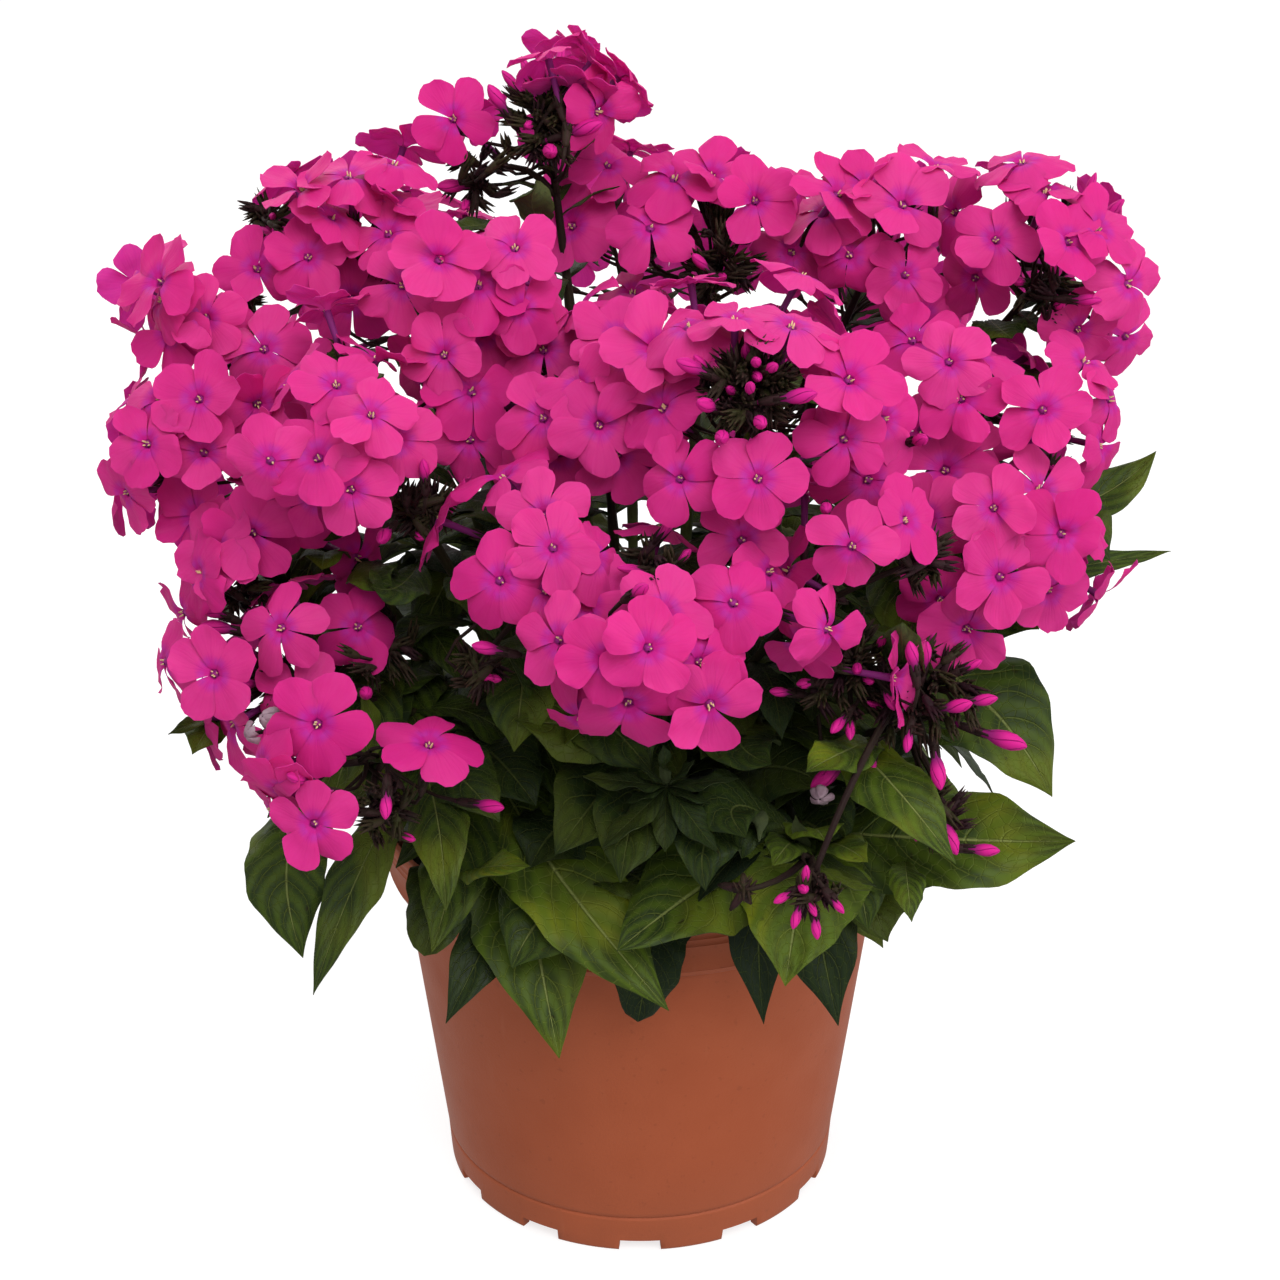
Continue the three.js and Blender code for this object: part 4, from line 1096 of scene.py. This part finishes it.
def make_soil():
    band = POT["height"] - POT["band_drop"]
    outer = inside_radius(band) - SOIL["gap"]
    low = POT["floor_height"] + POT["floor_thickness"] + SOIL["gap"]
    profile = [(0.5, low), (inside_radius(low) - SOIL["gap"], low), (outer, band), (outer, band + 1.5)]
    profile += [(outer * t, 0) for t in np.linspace(0.985, 0.02, 22)]
    angles = np.linspace(0, 2 * math.pi, 72, endpoint=False)
    points, faces, uv = lathe(profile, angles)
    tops = slice(4 * len(angles), None)
    points[tops, 2] = soil_height(points[tops, 0], points[tops, 1])
    pile = Pile()
    pile.add(points, faces, uv, tint=0.3)
    corners = np.array([(1, 0, 0), (-1, 0, 0), (0, 1, 0), (0, -1, 0), (0, 0, 1), (0, 0, -1)], float)
    sides = [(0, 2, 4), (2, 1, 4), (1, 3, 4), (3, 0, 4), (2, 0, 5), (1, 2, 5), (3, 1, 5), (0, 3, 5)]
    for _ in range(CRUMBS):
        radius, angle = outer * 0.97 * math.sqrt(detail.random()), detail.random() * 2 * math.pi
        x, y = radius * math.cos(angle), radius * math.sin(angle)
        size = 0.5 + 1.9 * detail.random() ** 2
        crumb = corners * size * detail.uniform(0.6, 1.4, (6, 1)) * detail.uniform(0.6, 1.3, 3)
        crumb = turned(crumb, (x, y, soil_height(x, y) + size * 0.2),
                       Vector(detail.normal(size=3)).normalized())
        pile.add(crumb, sides, np.zeros((6, 2)), tint=detail.random())
    pile.make("potting_soil", POTTING_SOIL, "potting_soil", ["soil"], smooth=False)


# ---- Stems and leaves -----------------------------------------------------------------------

def add_stem(pile, stem):
    """A stem that tapers to its head's stalk, swollen where its leaves sit."""
    path = bend(*stem["curve"], STEM_RINGS) + [stem["end"].lerp(stem["hub"], 0.5), stem["hub"]]
    thick = STEM["side_radius"] if stem["parent"] else STEM["radius"]
    radii = list(np.linspace(thick, STEM["upper_radius"], STEM_RINGS)) + STEM["stalk_radii"]
    for node in STEM["nodes"]:
        radii[node] *= STEM["swollen"]
    first = STEM["branch_at"] if stem["parent"] else 0.0
    up = np.repeat(np.linspace(0, 1, len(path)), STEM_SIDES)
    pile.add_tube(path, radii, STEM_SIDES, tint=first + (1 - first) * up)


def leaf_width(t, blunt):
    """The blade's width along its length, from 0 to 1: a rounded base and a drawn-out tip, or a
    round one where it is blunt."""
    x = np.clip((t - 0.05) / 0.95, 0, 1)
    blade = np.sin(math.pi * x).clip(0) ** np.where(x < 0.5, 0.65, 0.42 if blunt else 0.8)
    pointed = 1 - (0.0 if blunt else 0.55) * (np.maximum(x - 0.5, 0) * 2) ** 5
    return np.maximum(blade * pointed, 0.10 * (1 - t) + 0.006)


def add_leaf(pile, root, shoulder, tip, width, tint, rows=26, columns=9, face=0.0, blunt=False):
    """A closed blade along the curve, folded at the midrib, quilted between its side veins. Its
    upper side looks up, or leans towards the front by face."""
    t = np.linspace(0, 1, rows)
    a, b, c = (np.array(point, float) for point in (root, shoulder, tip))
    middle = bend_between(a, b, c, t[:, None])
    along = unit((b - a) * (2 * (1 - t))[:, None] + (c - b) * (2 * t)[:, None])
    length = np.linalg.norm(np.diff(middle, axis=0), axis=1).sum()
    side = np.cross(np.stack([0 * t, -face * np.minimum(1, 2 * t), 0 * t + 1], -1), along)
    upright = np.linalg.norm(side, axis=1, keepdims=True) < 0.03
    side = np.where(upright, (1.0, 0.0, 0.0), unit(side))
    up = np.cross(along, side)
    s = np.linspace(-1, 1, columns)
    from_midrib = np.abs(s)
    half = width / 2 * leaf_width(t, blunt)
    one, other = detail.uniform(0, 6.28, 2)
    half = (half * (1 + 0.05 * np.sin(t * 19 + one) + 0.03 * np.sin(t * 41 + other)))[:, None]
    swing, turn = detail.uniform(0, 6.28, 2)
    waves = np.sin(t * 13 + swing)[:, None] * (s > 0) + np.sin(t * 11 + swing * 2 + 1)[:, None] * (s < 0)
    ruffle = waves * from_midrib ** 2.5 * LEAF["ruffle"] * half
    t = t[:, None]
    veins = np.cos(2 * math.pi * VEINS["count"] * (t - VEINS["sweep"] * (from_midrib / 2) ** VEINS["curl"]))
    quilt = LEAF["quilt"] * width * veins * (1 - s ** 4) * np.minimum(1, 4 * from_midrib) * (1 - t ** 3)
    lift = half * (LEAF["fold"] * from_midrib ** 1.2 - LEAF["curl"] * s ** 4) + ruffle + quilt
    twist = LEAF["twist"] * math.sin(turn) * t * s * half
    bow = LEAF["bow"] * length * math.cos(turn) * np.sin(math.pi * t)[..., None] * side[:, None]
    top = middle[:, None] + side[:, None] * (s * half)[..., None] + bow
    top = top + up[:, None] * (lift + twist)[..., None]
    pile.add_sheet(top, LEAF["thickness"], grid_uv(t[:, 0], (s + 1) / 2), tint)


def bracts_below(stem):
    """Small narrow leaves where the flower stalks part, as (root, shoulder, tip, width)."""
    turn = Vector((0, 0, 1)).rotation_difference(stem["arrive"])
    for k in range(BRACTS["count"]):
        root = stem["hub"] - stem["arrive"] * (BRACTS["below"] - BRACTS["apart"] * k)
        length = detail.uniform(*BRACTS["length"]) * (1.15 if k < 2 else 0.85)
        away = turn @ polar(1, 90 * k + detail.uniform(-25, 25))
        rise = stem["arrive"] * detail.uniform(0.2, 0.75)
        tip = root + (away + rise).normalized() * length
        yield root, root.lerp(tip, 0.5) + stem["arrive"] * length * 0.14, tip, length * 0.3


def in_the_way(shoulder, tip):
    """Whether an undergrowth leaf would cover the front's own leaves or stick out of the plant."""
    low_at_right = tip.x > 112 and tip.y < 0 and tip.z < 215
    ahead = tip.y < UNDERGROWTH["front"] or shoulder.y < UNDERGROWTH["shoulder_front"]
    return ahead or low_at_right or math.hypot(tip.x, tip.y) > UNDERGROWTH["reach"]


def plan_undergrowth(stems):
    """More leaf pairs up the stems, turned a quarter from each pair to the next, which fill the
    plant from its crown to its heads, as (root, shoulder, tip, width)."""
    leaves = []
    for stem in stems.values():
        outward = azimuth_of(stem["hub"])
        quarter = detail.uniform(20, 70)
        for number, t in enumerate(UNDERGROWTH["side_stem" if stem["parent"] else "main_stem"]):
            root = bend_between(*stem["curve"], t)
            for side in (0, 180):
                azimuth = outward + quarter + 90 * number + side + detail.uniform(-18, 18)
                outside = math.cos(math.radians(azimuth - outward)) > 0.4
                length = detail.uniform(*UNDERGROWTH["length"]) * (1.2 if t < 0.5 else 0.85)
                length *= 1.12 if outside else 0.9
                tip = root + polar(length, azimuth, -length * detail.uniform(0.0, 0.35))
                tip.z = max(tip.z, UNDERGROWTH["lowest_tip"] + detail.uniform(0, 12))
                shoulder = root + polar(length * 0.5, azimuth, length * detail.uniform(0.15, 0.3))
                if not in_the_way(shoulder, tip):
                    leaves.append((root, shoulder, tip, length * detail.uniform(0.34, 0.42)))
    return leaves


def plan_rim_leaves(stems):
    """Leaves that arch over the pot's rim, from the right round the back to the left."""
    leaves = []
    for azimuth in RIM_LEAVES["azimuths"]:
        turn = azimuth + detail.uniform(-6, 6)
        root = nearest_on_stems(polar(RIM_LEAVES["root"], turn, 150 + detail.uniform(0, 22)), stems)
        tip = polar(detail.uniform(*RIM_LEAVES["tip"]), turn + detail.uniform(-14, 14),
                    detail.uniform(*RIM_LEAVES["tip_height"]))
        shoulder = polar(RIM_LEAVES["shoulder"], turn, tip.z + detail.uniform(*RIM_LEAVES["arch"]))
        leaves.append((root, shoulder, tip, detail.uniform(*RIM_LEAVES["width"])))
    return leaves


def make_stems(stems, nodes):
    pile = Pile()
    for stem in stems.values():
        add_stem(pile, stem)
    a, b, c, d = (at_depth(*place) for place in LOW_STALK)
    path = [a * (1 - t) ** 3 + b * 3 * t * (1 - t) ** 2 + c * 3 * t * t * (1 - t) + d * t ** 3
            for t in np.linspace(0, 1, len(LOW_STALK_RADII))]
    pile.add_tube(path, LOW_STALK_RADII, STEM_SIDES, tint=0.9)
    pile.make("stems", STEM_GREEN, "leaf_green", nodes)


def make_leaves(stems, nodes):
    front = Pile()
    for shoulder, tip, width, tint in LARGE_LEAVES:
        root = nearest_on_stems(Vector(shoulder), stems)
        add_leaf(front, root, Vector(shoulder).lerp(root, 0.1), tip, width * SEEN_WIDER["large"], tint,
                 rows=40, columns=13, face=0.75)
    for root, shoulder, tip, width, tint, *blunt in FRONT_LEAVES:
        add_leaf(front, *(at_depth(*place) for place in (root, shoulder, tip)),
                 width * SEEN_WIDER["front"], tint, rows=34, columns=11, face=0.6, blunt=bool(blunt))
    heart = at_depth(*YOUNG_SHOOT["place"])
    scale, lean = YOUNG_SHOOT["scale"], YOUNG_SHOOT["lean"]
    for turn, length in YOUNG_SHOOT["leaves"]:
        way = facing(lean * math.cos(math.radians(turn)), lean * math.sin(math.radians(turn)))
        tip = heart + way * length / scale
        shoulder = heart.lerp(tip, 0.5) - AHEAD * length / 14
        add_leaf(front, heart, shoulder, tip, length / scale * YOUNG_SHOOT["width"], 0.12, rows=20)
    front.make("large_leaves", LEAF_GREEN, "leaf_green", nodes, crisp=True)
    body = Pile()
    for leaf in plan_pairs(stems):
        add_leaf(body, *leaf, 0.3 + 0.3 * detail.random(), rows=22)
    for leaf in plan_undergrowth(stems) + plan_rim_leaves(stems):
        add_leaf(body, *leaf, detail.uniform(0.0, 0.45), rows=18, columns=7)
    for stem in stems.values():
        for leaf in bracts_below(stem):
            add_leaf(body, *leaf, detail.uniform(0.0, 0.35), rows=9, columns=5)
    body.make("leaf_pairs", LEAF_GREEN, "leaf_green", nodes, crisp=True)


# ---- Flowers --------------------------------------------------------------------------------

FLOWER_PIECES = {
    "petals_front": (PETAL_PINK, "petal_pink"),
    "petals_back": (PETAL_PINK, "petal_pink"),
    "floret_tubes": (TUBE_PURPLE, "petal_pink"),
    "anthers": (ANTHER_CREAM, "petal_pink"),
    "calyces": (CALYX_DARK, "leaf_green"),
    "flower_stalks": (STEM_GREEN, "leaf_green"),
    "buds": (BUD_PINK, "petal_pink"),
    "withered_florets": (PETAL_WITHERED, "petal_pink"),
}


def petal_blade(droop, notch, roll, twist, wide, hinge, wave, rows=9, columns=7):
    """One petal's upper face, from the throat out along +X, and its UV: u runs along it and v
    across. Hinge leans it forward, and wave sets how its edge and its ruffles run."""
    u = np.linspace(0, 1, rows)[:, None]
    v = np.linspace(-1, 1, columns)[None, :]
    rounding = 4.2 * np.abs(v + 0.19 * math.sin(wave)) ** 2.2
    edge = FLORET["radius"] - rounding - notch * np.exp(-(v / 0.25) ** 2)
    radius = FLORET["throat"] + u * (edge - FLORET["throat"])
    half = (0.9 + 8.4 * u ** 1.05 * (1 - 0.34 * u ** 5)) * wide
    fall = -droop * u ** 2.2 + 0.7 * np.sin(math.pi * np.minimum(u * 1.6, 1)) - roll * v ** 2 * u ** 2
    lift = fall + twist * v * np.sin(math.pi * u * 0.9) - 0.25 * np.exp(-(v / 0.2) ** 2) * u
    ruffle = 0.62 * np.sin(4.2 * v + wave + 5 * u) * u ** 2 + 0.42 * np.sin(7 * v - 2 * wave) * u ** 3
    lift = lift - 0.8 * np.exp(-(u / 0.07) ** 2) + ruffle
    out = radius * math.cos(hinge) - lift * math.sin(hinge)
    across = v * half + 0.8 * math.cos(wave) * u ** 2
    up = radius * math.sin(hinge) + lift * math.cos(hinge)
    return np.stack(np.broadcast_arrays(out, across, up), -1), grid_uv(u[:, 0], (v[0] + 1) / 2)


def add_face(pile, place, out, spin, size=None, shrivel=0.0):
    """The five petals of one open floret."""
    tint = detail.random()
    droop = detail.choice(**DROOPS) + shrivel
    size = size or detail.uniform(0.88, 1.08)
    cup = detail.normal() * 0.12
    for petal in range(FLORET["petals"]):
        folded = detail.choice(**FOLDS)
        top, uv = petal_blade(droop=droop + detail.normal() * 0.9, notch=detail.uniform(0.1, 1.1),
                              roll=detail.uniform(-0.9, 1.3) + shrivel * 0.4,
                              twist=0.3 + 0.35 * detail.normal(), wide=detail.uniform(0.84, 1.06),
                              hinge=cup + folded + detail.normal() * 0.09, wave=any_turn())
        angle = spin + petal * 2 * math.pi / FLORET["petals"] + detail.normal() * 0.06
        own_tint = np.clip(tint + detail.normal() * 0.2, 0, 1)
        pile.add_sheet(top * size, FLORET["thickness"], uv, own_tint, at=(place, out, angle))


def add_anthers(pile, place, out):
    """Two to four anthers that show in the throat."""
    for k in range(detail.integers(2, 5)):
        way = level(k * 1.7 + detail.uniform(-0.7, 0.7))
        foot = way * 0.45 - (0, 0, 1.8)
        tip = way * detail.uniform(0.5, 1.3) + (0, 0, detail.uniform(0.4, 1.5))
        pile.add_tube([foot, foot * 0.5 + tip * 0.5, tip], ANTHER_RADII, 5, at=(place, out))


def add_calyx(pile, place, out, length, spread=0.25, tint=0.3):
    """A cup of five awl-shaped teeth, standing on place and opening along out."""
    pile.add_spindle(CUP_PROFILE, 8, (place, out), length, tint=tint, part=(0, 0.5))
    turn = any_turn()
    for tooth in range(FLORET["petals"]):
        way = level(turn + tooth * 2 * math.pi / FLORET["petals"])
        lean = spread * detail.uniform(0.4, 1.6)
        path = [way + (0, 0, length * 0.5), way * (1.15 + lean) + (0, 0, length * 0.8),
                way * (1.0 + 3.0 * lean) + (0, 0, length * detail.uniform(0.98, 1.15))]
        pile.add_tube(path, TOOTH_RADII, 4, tint, (place, out), part=(0.5, 1))


def add_pedicel(pile, stem, base, out):
    """The short stalk that curves out of the head's stalk to a calyx."""
    below = stem["hub"] - stem["arrive"] * (6 + 15 * detail.random())
    shoulder = base - out * (base - below).length * 0.45
    pile.add_tube(bend(below, shoulder, base, len(PEDICEL_RADII)), PEDICEL_RADII, 5, tint=0.9)


def add_bud(pile, place, out, length, thick):
    """A closed bud: a slim tube that swells into a twisted spindle."""
    pile.add_spindle(BUD_PROFILE, 10, (place, out), length, thick, tint=detail.random())


def add_middle(piles, stem, across, down, wide, count):
    """A tuft of unopened calyces that the front view shows at a place in a head."""
    heart = on_dome(stem, across, down, 0.3)
    deep = (0.78, 1.0) if stem["bare"] else (0.62, 0.84)
    path = bend(stem["hub"] - stem["arrive"] * 24, stem["hub"] * 0.6 + heart * 0.4, heart, 6)
    piles["flower_stalks"].add_tube(path, TUFT_STALK_RADII, 6, tint=0.9)
    for k in range(count):
        reach = math.sqrt((k + 0.5) / count)
        turn = math.radians(k * GOLDEN_ANGLE)
        right, up = reach * math.cos(turn), reach * math.sin(turn)
        tip = on_dome(stem, across + wide * right, down - wide * up, detail.uniform(*deep))
        way = leaning((facing(right * 0.9, up * 0.9) + (tip - heart).normalized()).normalized(), 0.3)
        length = detail.uniform(7.5, 12.0)
        base = tip - way * length
        add_calyx(piles["calyces"], base, way, length, detail.uniform(0.05, 0.3), detail.random())
        path = bend(heart, base - way * (base - heart).length * 0.4, base, len(TUFT_PEDICEL_RADII))
        piles["flower_stalks"].add_tube(path, TUFT_PEDICEL_RADII, 5, tint=0.95)
        if detail.random() < TUFT_BUDS:
            add_bud(piles["buds"], base, way, length * detail.uniform(1.1, 1.5), detail.uniform(1.0, 1.5))


def add_open_florets(piles, stems):
    """Every open floret, on its tube, in its calyx, on its stalk."""
    florets, ways = plan_florets(stems)
    for name, points in florets.items():
        for point, way in zip(points, ways[name]):
            out = leaning(way, 0.05)
            face = piles["petals_front" if point.y < FRONT_PETALS else "petals_back"]
            add_face(face, point, out, notch_turn(point, out, points))
            piles["floret_tubes"].add_spindle(TUBE_PROFILE, 9, (point, out))
            add_anthers(piles["anthers"], point, out)
            base = point - out * (FLORET["tube"] + 1.5)
            add_calyx(piles["calyces"], base, out, detail.uniform(9, 11), tint=detail.random() * 0.6)
            add_pedicel(piles["flower_stalks"], stems[name], base, out)


def add_unopened(piles, stems):
    """The buds in the heads, the dark middles, the buds in colour and the calyces round the stalks."""
    calyces, stalks, buds = piles["calyces"], piles["flower_stalks"], piles["buds"]
    for stem, out, length in plan_buds(stems):
        if stem["bare"] < SPRAY:
            base = stem["hub"] + out * length * 0.2
            add_calyx(calyces, base, out, length * 0.42, 0.15)
            add_pedicel(stalks, stem, base, out)
            add_bud(buds, base, out, length * 0.72, 1.5)
    for name, places in DARK_MIDDLES.items():
        for place in places:
            add_middle(piles, stems[name], *place)
    for name, rows in SHOWN_BUDS.items():
        for across, down, right, up, length in rows:
            way = facing(right, up)
            base = on_dome(stems[name], across, down, 1.02) - way * length * 0.85
            add_calyx(calyces, base, way, length * 0.7, 0.05, 0.2)
            add_bud(buds, base, way, length * 1.2, length / 7.4)
            add_pedicel(stalks, stems[name], base, way)
    for name, rows in WITHERED.items():
        for across, down, right, up in rows:
            place, way = on_dome(stems[name], across, down), facing(right, up)
            add_face(piles["withered_florets"], place, way, any_turn(), WITHERED_SIZE, WITHERED_DROOP)
            add_pedicel(stalks, stems[name], place - way * 2, way)
    for name, stem in stems.items():
        if name in DARK_MIDDLES and not 0 < stem["bare"] < SPRAY:
            continue
        for _, out in dome_directions(stem, 14, stem["bare"] * 1.1 if stem["bare"] else 80):
            way = leaning(out, 0.25)
            base = stem["hub"] + way * detail.uniform(3, 12)
            add_calyx(calyces, base, way, detail.uniform(8, 11), 0.3, detail.random())
            add_pedicel(stalks, stem, base, way)


def make_flowers(stems, nodes):
    piles = {name: Pile() for name in FLOWER_PIECES}
    add_open_florets(piles, stems)
    add_unopened(piles, stems)
    for name, (material, slot) in FLOWER_PIECES.items():
        piles[name].make(name, material, slot, nodes, crisp=name.startswith("petals_"))


# ---- Studio ---------------------------------------------------------------------------------

def make_camera():
    lens = bpy.data.cameras.new("Camera")
    lens.lens = CAMERA["lens"]
    lens.sensor_width = CAMERA["sensor"]
    camera = bpy.data.objects.new("Camera", lens)
    camera.location = Vector(CAMERA["place"]) * METRES
    camera.rotation_euler = (math.radians(90 - CAMERA["down"]), 0, 0)
    bpy.context.scene.collection.objects.link(camera)
    bpy.context.scene.camera = camera


def make_light(name, place, size, power):
    lamp = bpy.data.lights.new(name, "AREA")
    lamp.shape = "DISK"
    lamp.size = size
    lamp.energy = power
    light = bpy.data.objects.new(name, lamp)
    light.location = place
    light.rotation_euler = (Vector((0, 0, 0.25)) - Vector(place)).to_track_quat("-Z", "Y").to_euler()
    bpy.context.scene.collection.objects.link(light)


def make_studio():
    mesh = bpy.data.meshes.new("floor")
    mesh.from_pydata([(-30, -30, 0), (30, -30, 0), (30, 30, 0), (-30, 30, 0)], [], [(0, 1, 2, 3)])
    mesh.materials.append(finish("Studio floor", lambda tree: {
        "Base Color": tree.mix(tree.noise(tree.place(), 3.0, 2.0), (0.33, 0.33, 0.33), (0.34, 0.34, 0.34)),
    }, Roughness=0.9, **{"Emission Color": (1, 1, 1), "Emission Strength": 0.74}))
    floor = bpy.data.objects.new("floor", mesh)
    bpy.context.scene.collection.objects.link(floor)
    world = bpy.data.worlds.new("Studio")
    world.use_nodes = True
    sky = Tree(world.node_tree)
    height = sky.parts(sky.node("ShaderNodeTexCoord").outputs["Generated"])[2]
    glow = sky.mix(sky.ramp(height, -0.05, 0.3), (0.53, 0.53, 0.53), (0.76, 0.76, 0.76))
    seen = sky.node("ShaderNodeLightPath").outputs["Is Camera Ray"]
    sky.put(world.node_tree.nodes["Background"].inputs["Color"], sky.mix(seen, glow, (1, 1, 1)))
    bpy.context.scene.world = world
    floor.visible_diffuse = False
    floor.visible_glossy = False
    make_light("Key light", (0.35, -1.25, 1.7), 1.3, 22.5)
    make_light("Fill light", (1.4, -0.9, 0.7), 1.2, 9)
    make_light("Back light", (-0.9, 1.3, 1.4), 1.4, 15)
    bpy.context.scene.view_settings.view_transform = "Standard"


make_camera()
make_studio()
stems = plan_stems()
LEAFY = sorted(name for name in frame["nodes"] if name.startswith("leafy_stem_"))
FLOWERY = sorted(name for name in frame["nodes"] if name.startswith("head_"))
make_pot()
make_soil()
make_stems(stems, LEAFY)
make_leaves(stems, LEAFY)
make_flowers(stems, FLOWERY)
